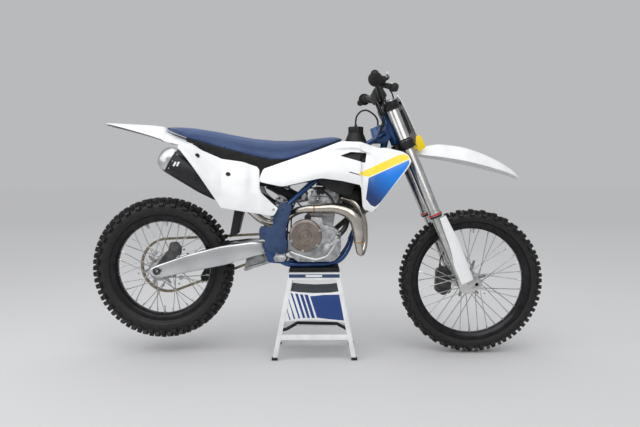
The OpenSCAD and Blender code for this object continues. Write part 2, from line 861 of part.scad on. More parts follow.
module upper_triple_clamp() {
    height = upper_clamp_w[1] - upper_clamp_w[0];
    color(black) placed() difference() {
        on_steering() difference() {
            union() {
                translate([0, 0, upper_clamp_w[0]]) {
                    cylinder(r = 28, h = height);
                    translate([-14, -fork_half, 0]) cube([50, 2 * fork_half, height]);
                    mirrored_pair() translate([fork_offset, fork_half, 0]) cylinder(r = fork_r + 10, h = height);
                    translate([30, -12, 14]) cube([plate_ahead - panel_t - 31, 24, 16]);
                }
                mirrored_pair() translate([-20, 28, upper_clamp_w[1] - 4]) cube([34, 26, 46]);
            }
            translate([0, 0, upper_clamp_w[0] - 5]) cylinder(r = 12 + seat_gap, h = height + 10);
            mirrored_pair() translate([fork_offset, fork_half, upper_clamp_w[0] - 5])
                cylinder(r = fork_r + seat_gap, h = height + 10);
        }
        across(bar_at, -80, 80, bar_r + seat_gap);
    }
}

module fork_tubes() {
    color(silver) placed() on_steering() mirrored_pair() translate([fork_offset, fork_half, 0]) difference() {
        union() {
            cylinder(r = fork_r, h = fork_top_w);
            cylinder(r = fork_r + 3, h = 16);
        }
        translate([0, 0, -1]) cylinder(r = leg_r + seat_gap, h = 121);
    }
}

module fork_legs() {
    color([0.8, 0.8, 0.82]) placed() mirrored_pair() difference() {
        union() {
            on_steering() translate([fork_offset, fork_half, -fork_drop + 10])
                cylinder(r = leg_r, h = fork_drop + 100);
            on_steering() translate([0, 0, -fork_drop]) {
                slab([[fork_offset - 24, -10], [fork_offset, -26], [axle_forward, -22],
                    [axle_forward, 22], [fork_offset + 22, 40], [fork_offset - 24, 60]], fork_half - 26, fork_half + 20);
                across([axle_forward, 0], fork_half - 26, fork_half + 20, 24);
            }
        }
        across(front_axle_at, fork_half - 30, fork_half + 30, front_axle_r + seat_gap);
    }
}

// Stations of a fork guard: height, rear edge, front edge
guard_stations = [
    [-16, 30, 64], [-70, 26, 68], [-148, 24, 76], [-196, 20, 76], [-244, 8, 74], [-341, 10, 72]
];

function guard_row(s, drop) = [
    [s[1], -fork_half - 31 + drop, s[0]],
    [blend(s[1], s[2], 0.6), -fork_half - 31 + drop, s[0]],
    [s[2] - drop * 0.6, -fork_half - 20 + drop * 0.6, s[0]],
    [s[2] - drop, -fork_half + 14, s[0]]
];

module fork_guards() {
    color(white) placed() on_steering() mirrored_pair()
        sheet([for (s = guard_stations) guard_row(s, 0)], [for (s = guard_stations) guard_row(s, panel_t)]);
}

module handlebar() {
    color(black) placed() mirrored_pair() tube(eased(bar_route, 24), bar_r, 12);
}

module grips() {
    color(black) placed() mirrored_pair() difference() {
        union() {
            rod(bar_end - 122 * bar_out, bar_end - 4 * bar_out, 16);
            rod(bar_end - 122 * bar_out, bar_end - 118 * bar_out, 31);
        }
        rod(bar_end - 140 * bar_out, bar_end + 20 * bar_out, bar_r + seat_gap);
    }
}

bar_out = unit(bar_end - bar_route[3]);
control_at = bar_end - 133 * bar_out;

module hand_controls() {
    color([0.15, 0.15, 0.16]) placed() mirrored_pair() difference() {
        union() {
            rod(control_at - 8 * bar_out, control_at + 8 * bar_out, 18);
            translate(control_at + [6, -30, -16]) cube([44, 38, 32]);
            tube(eased([[40, -16, 2], [50, 20, 4], [36, 112, 6]], 20) + [for (i = [0 : 6]) control_at], 6, 8);
        }
        rod(control_at - 60 * bar_out, control_at + 60 * bar_out, bar_r + seat_gap);
    }
}

// Stations of the front fender: x, half width, ridge, drop at the edge
fender_stations = [
    [412, 50, 962, 10],
    [452, 62, 981, 20],
    [520, 86, 1001, 50],
    [578, 98, 1010, 66],
    [700, 100, 996, 72],
    [800, 92, 961, 62],
    [884, 74, 920, 44],
    [944, 50, 880, 24],
    [972, 24, 846, 6]
];

module front_fender() {
    color(white) placed()
        sheet(
            [for (s = fender_stations) fender_row(s, 0)],
            [for (s = fender_stations) fender_row(s, panel_t)]
        );
}

// Stations of the number plate: height, half width, distance ahead of the axis at the middle
plate_stations = [
    [323, 40, 104], [350, 66, 104], [400, 92, 100], [480, 100, 96], [544, 94, plate_ahead],
    [560, 92, plate_ahead], [586, 78, 88]
];

function plate_row(s, drop) = [
    for (k = [-3 : 3])
        let (t = k / 3)
        [s[2] - drop - 14 * t * t, s[1] * t, s[0]]
];

module number_plate() {
    color(white) placed() on_steering()
        sheet([for (s = plate_stations) plate_row(s, panel_t)], [for (s = plate_stations) plate_row(s, 0)]);
}

module front_caliper() {
    body = [[584, 290], [590, 396], [626, 414], [664, 384], [660, 282], [620, 268]];
    color([0.3, 0.3, 0.31]) placed() difference() {
        union() {
            slab(eased_loop(body, 10), front_disc_y - 20, fork_half - 26 - seat_gap);
            translate([hose_end[0], hose_end[1], 395]) cylinder(r = 6, h = 25);
        }
        across(front_axle_at, front_disc_y - disc_t / 2 - wheel_gap, front_disc_y + disc_t / 2 + wheel_gap,
            front_disc_r + wheel_gap);
    }
}

// Route of the brake hose, ahead of the steering axis, left and up along it
hose_route = [
    [24, -180, 640], [52, -90, 606], [62, -20, 584], [64, 50, 556],
    [68, 106, 450], [68, 106, 200], [60, 106, 18], [54, 106, -40], [54, 106, -150],
    [52, 76, -190], [20, 72, -214]
];
hose_end = [612, 70, 420];
hose_start = [control_at[0] + 28, 30 + seat_gap - control_at[1], control_at[2] - 1];

module front_brake_hose() {
    drop = [for (p = hose_route) [
        seal_on_axis[0] + p[0] * cos(rake) - p[2] * sin(rake), p[1],
        seal_on_axis[1] + p[0] * sin(rake) + p[2] * cos(rake)
    ]];
    color(black) placed()
        tube(
            eased(
                concat(
                    [hose_start, hose_start + [0, 14, 0]], drop,
                    [hose_end + [0, 0, 30], hose_end + [0, 0, seat_gap]]
                ),
                40, 3
            ),
            3.5, 8
        );
}

module front_axle() {
    end = fork_half + 18;
    color(silver) placed() difference() {
        union() {
            across(front_axle_at, -end, end, front_axle_r);
            mirrored_pair() across(front_axle_at, 64, fork_half - 26 - seat_gap, 18);
        }
        across(front_axle_at, -end - 5, end + 5, axle_bore_r);
    }
}

// ---- wheels ----
// Half of a tyre's outline from bead to crown, as [radius, y]
function tyre_half(seat_r, outer_r, width, bead) = [
    [seat_r, bead], [seat_r + 12, bead], [seat_r + 14, bead + 6],
    [blend(seat_r, outer_r, 0.42), width * 0.46], [blend(seat_r, outer_r, 0.66), width / 2],
    [blend(seat_r, outer_r, 0.86), width * 0.46], [outer_r - 3, width * 0.28], [outer_r, width * 0.12]
];

module tyre(at, rim_r, outer_r, width, bead) {
    half = tyre_half(rim_r + rim_depth + seat_gap, outer_r, width, bead);
    back = [for (i = [len(half) - 1 : -1 : 0]) [half[i][0], -half[i][1]]];
    turned(at, concat(half, back));
}

module rim(at, inner_r, bead) {
    half = [
        [inner_r, 9], [inner_r + 8, bead - 4], [inner_r + rim_depth + 10, bead + 4],
        [inner_r + rim_depth + 10, bead + seat_gap], [inner_r + rim_depth, bead + seat_gap],
        [inner_r + rim_depth, bead - 6], [inner_r + 6, 12]
    ];
    back = [for (i = [len(half) - 1 : -1 : 0]) [half[i][0], -half[i][1]]];
    turned(at, concat(half, back));
}

// Spokes lean alternately forward and back from each hub flange to the rim
module spokes(at, flange_r, flange_y, rim_r) {
    for (k = [0 : spoke_count - 1]) {
        side = k % 2 == 0 ? 1 : -1;
        lean = floor(k / 2) % 2 == 0 ? 1 : -1;
        at_rim = 360 * k / spoke_count;
        at_hub = at_rim + lean * 62;
        reach = rim_r - 0.8;
        rod(
            [at[0] + flange_r * cos(at_hub), side * (flange_y + lean * 4.5), at[1] + flange_r * sin(at_hub)],
            [at[0] + reach * cos(at_rim), side * 6, at[1] + reach * sin(at_rim)],
            spoke_r
        );
    }
}

module front_tyre() {
    color(black) placed() tyre(front_axle_at, front_rim_r, front_tyre_r, front_tyre_w, 22);
}

module front_rim() {
    color(black) placed() rim(front_axle_at, front_rim_r, 22);
}

module front_hub() {
    color(silver) placed() {
        difference() {
            turned(front_axle_at, [
                [0, -60], [24, -60], [24, -38], [37, -38], [37, -24], [24, -24], [22, 0], [24, 24],
                [37, 24], [37, 38], [26, 38], [26, 48], [46, 48], [46, front_disc_y - disc_t / 2],
                [30, front_disc_y - disc_t / 2], [30, 62], [0, 62]
            ]);
            across(front_axle_at, -80, 80, front_axle_r + run_gap);
        }
        spokes(front_axle_at, 34, 31, front_rim_r);
    }
}

module brake_disc(at, y, outer_r, bore_r) {
    difference() {
        across(at, y - disc_t / 2, y + disc_t / 2, outer_r);
        across(at, y - disc_t, y + disc_t, bore_r);
        for (k = [0 : 5])
            across([at[0] + outer_r * 0.58 * cos(60 * k), at[1] + outer_r * 0.58 * sin(60 * k)],
                y - disc_t, y + disc_t, outer_r * 0.2);
    }
}

module front_disc() {
    color(silver) placed() brake_disc(front_axle_at, front_disc_y, front_disc_r, 30 + seat_gap);
}

module rear_tyre() {
    color(black) placed() tyre(rear_axle_at, rear_rim_r, rear_tyre_r, rear_tyre_w, 29);
}

module rear_rim() {
    color(black) placed() rim(rear_axle_at, rear_rim_r, 29);
}

module rear_hub() {
    face = chain_y - sprocket_t / 2;
    color(silver) placed() {
        difference() {
            turned(rear_axle_at, [
                [0, -84], [40, -84], [40, rear_disc_y + disc_t / 2], [54, rear_disc_y + disc_t / 2],
                [54, -68], [34, -64], [34, -52], [52, -52], [52, -38], [34, -38], [30, 0], [34, 38],
                [52, 38], [52, 52], [34, 52], [34, 60], [62, 66], [62, face], [44, face], [44, 84], [0, 84]
            ]);
            across(rear_axle_at, -100, 100, rear_axle_r + run_gap);
        }
        spokes(rear_axle_at, 48, 45, rear_rim_r);
    }
}

module rear_sprocket() {
    color([0.3, 0.3, 0.32]) placed()
        difference() {
            across(rear_axle_at, chain_y - sprocket_t / 2, chain_y + sprocket_t / 2, pitch_r + 2);
            across(rear_axle_at, chain_y - sprocket_t, chain_y + sprocket_t, 44 + seat_gap);
            for (k = [0 : 5])
                across([rear_axle_at[0] + 92 * cos(60 * k + 30), rear_axle_at[1] + 92 * sin(60 * k + 30)],
                    chain_y - sprocket_t, chain_y + sprocket_t, 20);
        }
}

module rear_disc() {
    color(silver) placed() brake_disc(rear_axle_at, rear_disc_y, rear_disc_r, 40 + seat_gap);
}

frame();
subframe();
airbox();
frame_guards();
engine();
engine_covers();
exhaust_header();
silencer();
silencer_cap();
shock_absorber();
shock_linkage();
swingarm();
rear_axle();
chain();
chain_guide();
rear_caliper();
radiators();
fuel_tank();
tank_cap();
seat();
rear_fender();
side_panels();
shrouds();
footpegs();
brake_pedal();
shift_lever();
mud_flap();
stand_frame();
stand_panels();
stand_pad();
lower_triple_clamp();
upper_triple_clamp();
fork_tubes();
fork_legs();
fork_guards();
handlebar();
grips();
hand_controls();
front_fender();
number_plate();
front_caliper();
front_brake_hose();
front_axle();
front_tyre();
front_rim();
front_hub();
front_disc();
rear_tyre();
rear_rim();
rear_hub();
rear_sprocket();
rear_disc();
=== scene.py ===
import json
import math

import bpy
from mathutils import Matrix, Vector


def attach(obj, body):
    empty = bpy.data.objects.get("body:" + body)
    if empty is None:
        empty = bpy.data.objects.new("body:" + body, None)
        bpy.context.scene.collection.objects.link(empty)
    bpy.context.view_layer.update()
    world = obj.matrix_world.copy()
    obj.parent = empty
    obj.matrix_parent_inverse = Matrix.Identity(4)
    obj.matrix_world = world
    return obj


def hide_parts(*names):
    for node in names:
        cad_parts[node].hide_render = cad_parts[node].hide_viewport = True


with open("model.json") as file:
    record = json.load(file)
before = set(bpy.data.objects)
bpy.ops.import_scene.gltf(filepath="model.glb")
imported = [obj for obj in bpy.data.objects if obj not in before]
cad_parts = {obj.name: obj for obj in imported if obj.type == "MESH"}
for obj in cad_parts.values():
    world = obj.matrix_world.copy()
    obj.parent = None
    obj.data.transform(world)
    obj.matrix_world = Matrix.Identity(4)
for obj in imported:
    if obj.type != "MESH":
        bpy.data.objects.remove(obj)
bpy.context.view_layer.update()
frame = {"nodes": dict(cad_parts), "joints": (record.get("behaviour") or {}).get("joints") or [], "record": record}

jointOf = {joint["name"]: joint for joint in frame["joints"]}
frontAxle = Vector(jointOf["front_wheel_spin"]["pos_m"])
rearAxle = Vector(jointOf["rear_wheel_spin"]["pos_m"])
steerPoint = Vector(jointOf["steering"]["pos_m"])
steerUp = Vector(jointOf["steering"]["axis"]).normalized()
steerAhead = Vector((steerUp.z, 0, -steerUp.x))
middleX = 742.508 - frontAxle.x * 1000  # the drawing's middle, ahead of the part's origin


def spot(x, y, z):  # a place on the drawing, in millimetres
    return Vector(((x - middleX) / 1000, y / 1000, z / 1000))


def steerSpot(ahead, y, up):  # a place beside the steering axis, in millimetres
    return steerPoint + steerAhead * (ahead / 1000) + Vector((0, y / 1000, 0)) + steerUp * (up / 1000)


# small tools
def letGo():
    if bpy.context.mode != "OBJECT":
        bpy.ops.object.mode_set(mode="OBJECT")
    bpy.ops.object.select_all(action="DESELECT")


def pick(piece):
    letGo()
    piece.select_set(True)
    bpy.context.view_layer.objects.active = piece


def editAll(piece, how="VERT"):
    pick(piece)
    bpy.ops.object.mode_set(mode="EDIT")
    bpy.ops.mesh.select_mode(type=how)
    bpy.ops.mesh.select_all(action="SELECT")


def modify(piece, kind, **settings):
    pick(piece)
    name = piece.modifiers.new(kind.title(), kind).name
    for key, value in settings.items():
        setattr(piece.modifiers[name], key, value)
    bpy.ops.object.modifier_apply(modifier=name)


def softenEdges(piece, width, segments=2, degrees=50):
    modify(piece, "BEVEL", width=width, segments=segments, limit_method="ANGLE",
           angle_limit=math.radians(degrees))


def facesOut(piece, merge=0.00001):
    editAll(piece)
    bpy.ops.mesh.remove_doubles(threshold=merge)
    bpy.ops.mesh.normals_make_consistent(inside=False)
    bpy.ops.object.mode_set(mode="OBJECT")


def smoothBy(piece, degrees=35):
    pick(piece)
    bpy.ops.object.shade_smooth_by_angle(angle=math.radians(degrees))


def placeMesh(piece, matrix):
    piece.data.transform(matrix)
    piece.matrix_world = Matrix.Identity(4)


def joined(pieces, name):
    letGo()
    for piece in pieces:
        piece.select_set(True)
    bpy.context.view_layer.objects.active = pieces[0]
    if len(pieces) > 1:
        bpy.ops.object.join()
    whole = bpy.context.view_layer.objects.active
    whole.name = name
    return whole


def copyOf(piece, matrix):
    other = piece.copy()
    other.data = piece.data.copy()
    bpy.context.scene.collection.objects.link(other)
    other.data.transform(matrix)
    return other


def dropped(piece):
    bpy.data.objects.remove(piece)


def finished(piece, name, body, material, replaces=(), smooth=35):
    piece.name = name
    pick(piece)
    bpy.ops.object.transform_apply(location=True, rotation=True, scale=True)
    if smooth:
        smoothBy(piece, smooth)
    if material is not None:
        piece.data.materials.clear()
        piece.data.materials.append(material)
    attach(piece, body)
    if replaces:
        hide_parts(*replaces)
    return piece


def grouped(pieces, name, body, finish, replaces=(), smooth=35):
    return finished(joined(pieces, name), name, body, looks[finish], replaces, smooth)


def blended(a, b, t):
    return a + (b - a) * t


def mirrorAcross(piece):  # its twin on the other side, turned the right way out
    twin = copyOf(piece, Matrix.Scale(-1, 4, Vector((0, 1, 0))))
    editAll(twin)
    bpy.ops.mesh.flip_normals()
    bpy.ops.object.mode_set(mode="OBJECT")
    return twin


# shapes
# profile is a list of (radius, y) in metres, spun about a level axle
def turnedRing(profile, steps, centre):
    bpy.ops.mesh.primitive_circle_add(vertices=len(profile), radius=0.01, fill_type="NOTHING")
    piece = bpy.context.object
    for vertex, (radius, y) in zip(piece.data.vertices, profile):
        vertex.co = Vector((centre.x + radius, centre.y + y, centre.z)) - piece.location
    editAll(piece)
    bpy.ops.mesh.spin(steps=steps, angle=2 * math.pi, center=centre, axis=(0, 1, 0))
    bpy.ops.object.mode_set(mode="OBJECT")
    facesOut(piece, 0.00002)
    return piece


# a sheet through rows of points
def gridPiece(rows):
    across, along = len(rows[0]), len(rows)
    bpy.ops.mesh.primitive_grid_add(x_subdivisions=across - 1, y_subdivisions=along - 1, size=1, location=(0, 0, 0))
    piece = bpy.context.object
    for i, row in enumerate(rows):
        for j, point in enumerate(row):
            piece.data.vertices[i * across + j].co = point
    return piece


def thickened(piece, thickness, edge=0.0008, offset=-1):
    modify(piece, "SOLIDIFY", thickness=thickness, offset=offset, use_even_offset=True)
    if edge:
        softenEdges(piece, edge)
    return piece


# a side-view outline in drawing millimetres, made thick from y0 to y1
def plateFrom(outline, y0, y1, edge=0.001, segments=2):
    bpy.ops.mesh.primitive_circle_add(vertices=len(outline), radius=0.01, fill_type="NGON")
    piece = bpy.context.object
    for vertex, (x, z) in zip(piece.data.vertices, outline):
        vertex.co = spot(x, y0, z)
    editAll(piece, "FACE")
    bpy.ops.mesh.extrude_region_move(TRANSFORM_OT_translate={"value": (0, (y1 - y0) / 1000, 0)})
    bpy.ops.object.mode_set(mode="OBJECT")
    facesOut(piece)
    if edge:
        softenEdges(piece, edge, segments, 40)
    return piece


# a round bar along points, given in metres
def barAlong(points, radii, sides=20, smooth=True):
    curve = bpy.data.curves.new("route", "CURVE")
    curve.dimensions = "3D"
    curve.bevel_depth = 1.0
    curve.bevel_resolution = max(1, sides // 4 - 1)
    curve.resolution_u = 6
    curve.use_fill_caps = True
    line = curve.splines.new("BEZIER" if smooth else "POLY")
    own = line.bezier_points if smooth else line.points
    own.add(len(points) - 1)
    if not hasattr(radii, "__len__"):
        radii = [radii] * len(points)
    for knot, point, radius in zip(own, points, radii):
        if smooth:
            knot.co = point
            knot.handle_left_type = knot.handle_right_type = "AUTO"
        else:
            knot.co = (*point, 1)
        knot.radius = radius
    piece = bpy.data.objects.new("bar", curve)
    bpy.context.scene.collection.objects.link(piece)
    pick(piece)
    bpy.ops.object.convert(target="MESH")
    piece = bpy.context.object
    facesOut(piece)
    return piece


# a short cylinder with a softened rim
def roundBar(start, end, radius, sides=24, edge=0.0):
    run = end - start
    bpy.ops.mesh.primitive_cylinder_add(vertices=sides, radius=radius, depth=run.length)
    piece = bpy.context.object
    turn = run.to_track_quat("Z", "Y").to_matrix().to_4x4()
    placeMesh(piece, Matrix.Translation((start + end) / 2) @ turn)
    if edge:
        softenEdges(piece, edge)
    return piece


def pin(start, end, radius, sides=24, edge=0.0):  # the same between two places on the drawing
    return roundBar(spot(*start), spot(*end), radius, sides, edge)


# a hexagon-socket bolt head standing on a surface
def boltHead(point, facing, radius=0.0055, height=0.005):
    bpy.ops.mesh.primitive_cylinder_add(vertices=12, radius=radius, depth=height)
    piece = bpy.context.object
    bpy.ops.object.mode_set(mode="EDIT")
    bpy.ops.mesh.select_mode(type="FACE")
    bpy.ops.mesh.select_all(action="DESELECT")
    bpy.ops.object.mode_set(mode="OBJECT")
    for face in piece.data.polygons:
        face.select = face.normal.z > 0.9
    bpy.ops.object.mode_set(mode="EDIT")
    bpy.ops.mesh.inset(thickness=radius * 0.18, depth=0)
    bpy.ops.mesh.inset(thickness=radius * 0.25, depth=0)
    bpy.ops.mesh.inset(thickness=radius * 0.04, depth=-height * 0.6)
    bpy.ops.object.mode_set(mode="OBJECT")
    turn = facing.to_track_quat("Z", "Y").to_matrix().to_4x4()
    placeMesh(piece, Matrix.Translation(point + facing.normalized() * height * 0.5) @ turn)
    return piece


# materials
def newLook(name):
    look = bpy.data.materials.new(name)
    look.use_nodes = True
    tree = look.node_tree
    shader = tree.nodes["Principled BSDF"]
    coords = tree.nodes.new("ShaderNodeTexCoord")
    return look, tree, shader, coords


def grainOf(tree, coords, scale, detail=6, stretch=None):
    noise = tree.nodes.new("ShaderNodeTexNoise")
    noise.inputs["Scale"].default_value = scale
    noise.inputs["Detail"].default_value = detail
    if stretch:
        mapping = tree.nodes.new("ShaderNodeMapping")
        mapping.inputs["Scale"].default_value = stretch
        tree.links.new(coords.outputs["Object"], mapping.inputs["Vector"])
        tree.links.new(mapping.outputs["Vector"], noise.inputs["Vector"])
    else:
        tree.links.new(coords.outputs["Object"], noise.inputs["Vector"])
    return noise


def ranged(tree, source, low, high, start=0.3, stop=0.7):
    spread = tree.nodes.new("ShaderNodeMapRange")
    spread.inputs["From Min"].default_value = start
    spread.inputs["From Max"].default_value = stop
    spread.inputs["To Min"].default_value = low
    spread.inputs["To Max"].default_value = high
    tree.links.new(source, spread.inputs["Value"])
    return spread.outputs["Result"]


def twoTone(tree, source, dark, light, start=0.35, stop=0.65):
    ramp = tree.nodes.new("ShaderNodeValToRGB")
    ramp.color_ramp.elements[0].position = start
    ramp.color_ramp.elements[0].color = (*dark, 1)
    ramp.color_ramp.elements[1].position = stop
    ramp.color_ramp.elements[1].color = (*light, 1)
    tree.links.new(source, ramp.inputs["Fac"])
    return ramp.outputs["Color"]


def bumped(tree, shader, source, strength, distance=0.001):
    bump = tree.nodes.new("ShaderNodeBump")
    bump.inputs["Strength"].default_value = strength
    bump.inputs["Distance"].default_value = distance
    tree.links.new(source, bump.inputs["Height"])
    tree.links.new(bump.outputs["Normal"], shader.inputs["Normal"])


def look(name, dark, light, rough=(0.3, 0.4), metal=0.0, patch=30, grain=600, relief=0.05, coat=0.0,
         stretch=None, spec=0.5, sheen=0.0):
    made, tree, shader, coords = newLook(name)
    shader.inputs["Metallic"].default_value = metal
    shader.inputs["Coat Weight"].default_value = coat
    shader.inputs["Specular IOR Level"].default_value = spec
    shader.inputs["Sheen Weight"].default_value = sheen
    cloud = grainOf(tree, coords, patch, 5)
    fine = grainOf(tree, coords, grain, 4, stretch)
    tree.links.new(twoTone(tree, cloud.outputs["Fac"], dark, light), shader.inputs["Base Color"])
    tree.links.new(ranged(tree, fine.outputs["Fac"], *rough), shader.inputs["Roughness"])
    bumped(tree, shader, fine.outputs["Fac"], relief)
    return made


def mathStep(tree, kind, first, second=None, third=None):
    step = tree.nodes.new("ShaderNodeMath")
    step.operation = kind
    for slotNumber, value in enumerate((first, second, third)):
        if value is None:
            continue
        if isinstance(value, (int, float)):
            step.inputs[slotNumber].default_value = value
        else:
            tree.links.new(value, step.inputs[slotNumber])
    return step.outputs["Value"]


# 1 inside a convex outline and 0 outside; its corners go round with the inside on the left
def insideOutline(tree, across, up, outline, soft=0.0006):
    nearest = None
    for (x0, z0), (x1, z1) in zip(outline, outline[1:] + outline[:1]):
        a, b = spot(x0, 0, z0), spot(x1, 0, z1)
        run = (b - a).normalized()
        away = mathStep(tree, "MULTIPLY_ADD", across, -run.z, run.z * a.x - run.x * a.z)
        away = mathStep(tree, "MULTIPLY_ADD", up, run.x, away)
        nearest = away if nearest is None else mathStep(tree, "MINIMUM", nearest, away)
    share = mathStep(tree, "MULTIPLY_ADD", nearest, 1 / soft, 0.5)
    share.node.use_clamp = True
    return share


def painted(tree, below, mask, colour):
    mix = tree.nodes.new("ShaderNodeMix")
    mix.data_type = "RGBA"
    tree.links.new(mask, mix.inputs["Factor"])
    tree.links.new(below, mix.inputs["A"])
    if isinstance(colour, tuple):
        mix.inputs["B"].default_value = (*colour, 1)
    else:
        tree.links.new(colour, mix.inputs["B"])
    return mix.outputs["Result"]


whiteDark, whiteLight = (0.80, 0.81, 0.82), (0.87, 0.88, 0.89)
yellow = (0.98, 0.70, 0.0)
navy = (0.012, 0.028, 0.10)

looks = {
    "white": look("whitePlastic", whiteDark, whiteLight, (0.26, 0.36), patch=14, grain=900, relief=0.02, coat=0.15),
    # grey for the sheet under the rear fender: painted shade of the fender's underside
    "tailUnderShade": look("paintedTailShade", (0.13, 0.13, 0.135), (0.18, 0.18, 0.185), (0.5, 0.65), grain=1200),
    "black": look("blackPlastic", (0.007, 0.007, 0.0075), (0.017, 0.017, 0.018), (0.42, 0.6), grain=1500, relief=0.1,
                  spec=0.35),
    "blackMetal": look("blackPaint", (0.010, 0.010, 0.011), (0.022, 0.022, 0.024), (0.28, 0.42), 0.4, grain=700),
    "rimBlack": look("rimAnodised", (0.008, 0.008, 0.009), (0.020, 0.020, 0.022), (0.22, 0.32), 0.6, grain=500),
    "rubber": look("tyreRubber", (0.004, 0.004, 0.004), (0.012, 0.012, 0.012), (0.42, 0.62), patch=60, grain=900,
                   relief=0.25, spec=0.42),
    "softRubber": look("softRubber", (0.012, 0.012, 0.012), (0.025, 0.025, 0.025), (0.6, 0.8), grain=1400,
                       relief=0.15, spec=0.3),
    "cast": look("castAlloy", (0.33, 0.335, 0.34), (0.58, 0.585, 0.59), (0.34, 0.55), 0.9, 40, 1600, 0.3),
    "darkCast": look("darkAlloy", (0.05, 0.05, 0.052), (0.10, 0.10, 0.102), (0.4, 0.55), 0.7, 40, 1500, 0.25),
    "bronze": look("bronzeCover", (0.20, 0.165, 0.145), (0.30, 0.25, 0.22), (0.33, 0.45), 0.7, 26, 1300, 0.12),
    "titanium": look("titanium", (0.42, 0.38, 0.33), (0.62, 0.58, 0.53), (0.18, 0.32), 1.0, 9, 500, 0.04,
                     stretch=(1, 1, 8)),
    "weld": look("weldBead", (0.38, 0.22, 0.11), (0.52, 0.33, 0.18), (0.3, 0.42), 1.0, 60, 900, 0.3),
    "brushed": look("brushedAlloy", (0.52, 0.53, 0.54), (0.66, 0.67, 0.68), (0.22, 0.36), 1.0, 6, 260, 0.05,
                    stretch=(1, 14, 14)),
    "forkSilver": look("forkTube", (0.50, 0.50, 0.49), (0.66, 0.66, 0.65), (0.2, 0.3), 1.0, 20, 900, 0.03),
    "steel": look("steel", (0.48, 0.48, 0.48), (0.64, 0.64, 0.64), (0.22, 0.34), 1.0, 50, 800, 0.05),
    "discSteel": look("discSteel", (0.26, 0.26, 0.26), (0.40, 0.40, 0.40), (0.24, 0.36), 1.0, 50, 700, 0.08),
    # dark slate for the stand panels' inward faces: painted shade inside the stand
    "standInnerShade": look("paintedInnerShade", (0.10, 0.115, 0.13), (0.13, 0.145, 0.16), (0.45, 0.6), 0, 30, 900),
    "darkSteel": look("darkSteel", (0.05, 0.05, 0.05), (0.12, 0.12, 0.12), (0.3, 0.45), 0.9, 60, 900, 0.08),
    "chain": look("chainSteel", (0.20, 0.17, 0.11), (0.36, 0.31, 0.22), (0.28, 0.42), 1.0, 90, 900, 0.08),
    "blueFrame": look("bluePaint", (0.005, 0.035, 0.13), (0.010, 0.065, 0.22), (0.2, 0.3), 0.5, 12, 900, 0.03,
                      coat=0.5),
    "guard": look("navyGuard", (0.018, 0.048, 0.125), (0.028, 0.066, 0.155), (0.5, 0.65), 0, 30, 2600, 0.4),
    "radiator": look("radiatorCore", (0.03, 0.03, 0.031), (0.08, 0.08, 0.082), (0.5, 0.65), 0.6, 60, 900, 0.2,
                     stretch=(1, 1, 60)),
    "stand": look("standWhite", (0.74, 0.75, 0.76), (0.84, 0.85, 0.86), (0.3, 0.42), 0.0, 20, 1500, 0.1, coat=0.2),
    "red": look("redRing", (0.55, 0.004, 0.004), (0.70, 0.012, 0.010), (0.3, 0.4), 0.2, 60, 900),
    "yellow": look("yellowPlastic", (0.93, 0.70, 0.003), yellow, (0.32, 0.42), 0, 14, 900, 0.02, coat=0.15),
    "hose": look("hose", (0.010, 0.010, 0.010), (0.020, 0.020, 0.020), (0.4, 0.55), 0, 80, 1500, 0.1),
}


def shroudLook():
    made, tree, shader, coords = newLook("shroudGraphics")
    shader.inputs["Coat Weight"].default_value = 0.25
    parts = tree.nodes.new("ShaderNodeSeparateXYZ")
    tree.links.new(coords.outputs["Object"], parts.inputs["Vector"])
    across, up = parts.outputs["X"], parts.outputs["Z"]
    cloud = grainOf(tree, coords, 14, 5)
    fine = grainOf(tree, coords, 900, 4)
    colour = twoTone(tree, cloud.outputs["Fac"], whiteDark, whiteLight)
    shade = {  # outlines in drawing millimetres
        "blue": [(221, 750), (243, 722), (262, 714), (284, 732), (402, 889), (414, 909), (414, 926), (234, 845)],
        "stripe": [(184, 863.5), (234, 849.5), (416, 930.5), (409, 946), (400, 951.5), (371, 950)],
        "wedge": [(142, 871), (234, 845), (234, 849.5), (184.8, 864), (163, 877)],
    }
    fade = mathStep(tree, "MULTIPLY_ADD", across, 3.2, -3.2 * spot(238, 0, 0).x)
    fade = mathStep(tree, "MULTIPLY_ADD", up, 3.0, mathStep(tree, "ADD", fade, -3.0 * 0.752))
    azure = twoTone(tree, fade, (0.006, 0.03, 0.135), (0.0, 0.215, 0.80), 0.06, 0.62)
    colour = painted(tree, colour, insideOutline(tree, across, up, shade["blue"]), azure)
    colour = painted(tree, colour, insideOutline(tree, across, up, shade["wedge"]), navy)
    colour = painted(tree, colour, insideOutline(tree, across, up, shade["stripe"]), yellow)
    tree.links.new(colour, shader.inputs["Base Color"])
    tree.links.new(ranged(tree, fine.outputs["Fac"], 0.24, 0.34), shader.inputs["Roughness"])
    bumped(tree, shader, fine.outputs["Fac"], 0.02)
    return made


looks["shroud"] = shroudLook()
print("materials made")

# camera, light and floor
cameraSet = {"place": (4, -2738, 805), "lens": 31.85, "turn": 0.20, "down": 2.69, "roll": 0.08}
bpy.ops.object.camera_add(location=spot(*cameraSet["place"]))
camera = bpy.context.object
camera.data.lens = cameraSet["lens"]
camera.data.sensor_width = 36
camera.rotation_euler = (
    math.radians(90 - cameraSet["down"]), math.radians(cameraSet["roll"]), math.radians(-cameraSet["turn"]))
bpy.context.scene.camera = camera

bpy.ops.mesh.primitive_plane_add(size=400, location=(0, 0, -0.0005))
floor = bpy.context.object
floor.name = "floor"
floorLook, tree, shader, coords = newLook("paleFloor")
reach = tree.nodes.new("ShaderNodeVectorMath")
reach.operation = "LENGTH"
tree.links.new(coords.outputs["Object"], reach.inputs[0])
# the floor darkens with distance from the bike: painted fall-off of the light
far = ranged(tree, reach.outputs["Value"], 0, 1, 2.5, 12)
tree.links.new(twoTone(tree, far, (0.62, 0.62, 0.625), (0.545, 0.545, 0.55), 0, 1), shader.inputs["Base Color"])
shader.inputs["Roughness"].default_value = 0.6
floor.data.materials.append(floorLook)

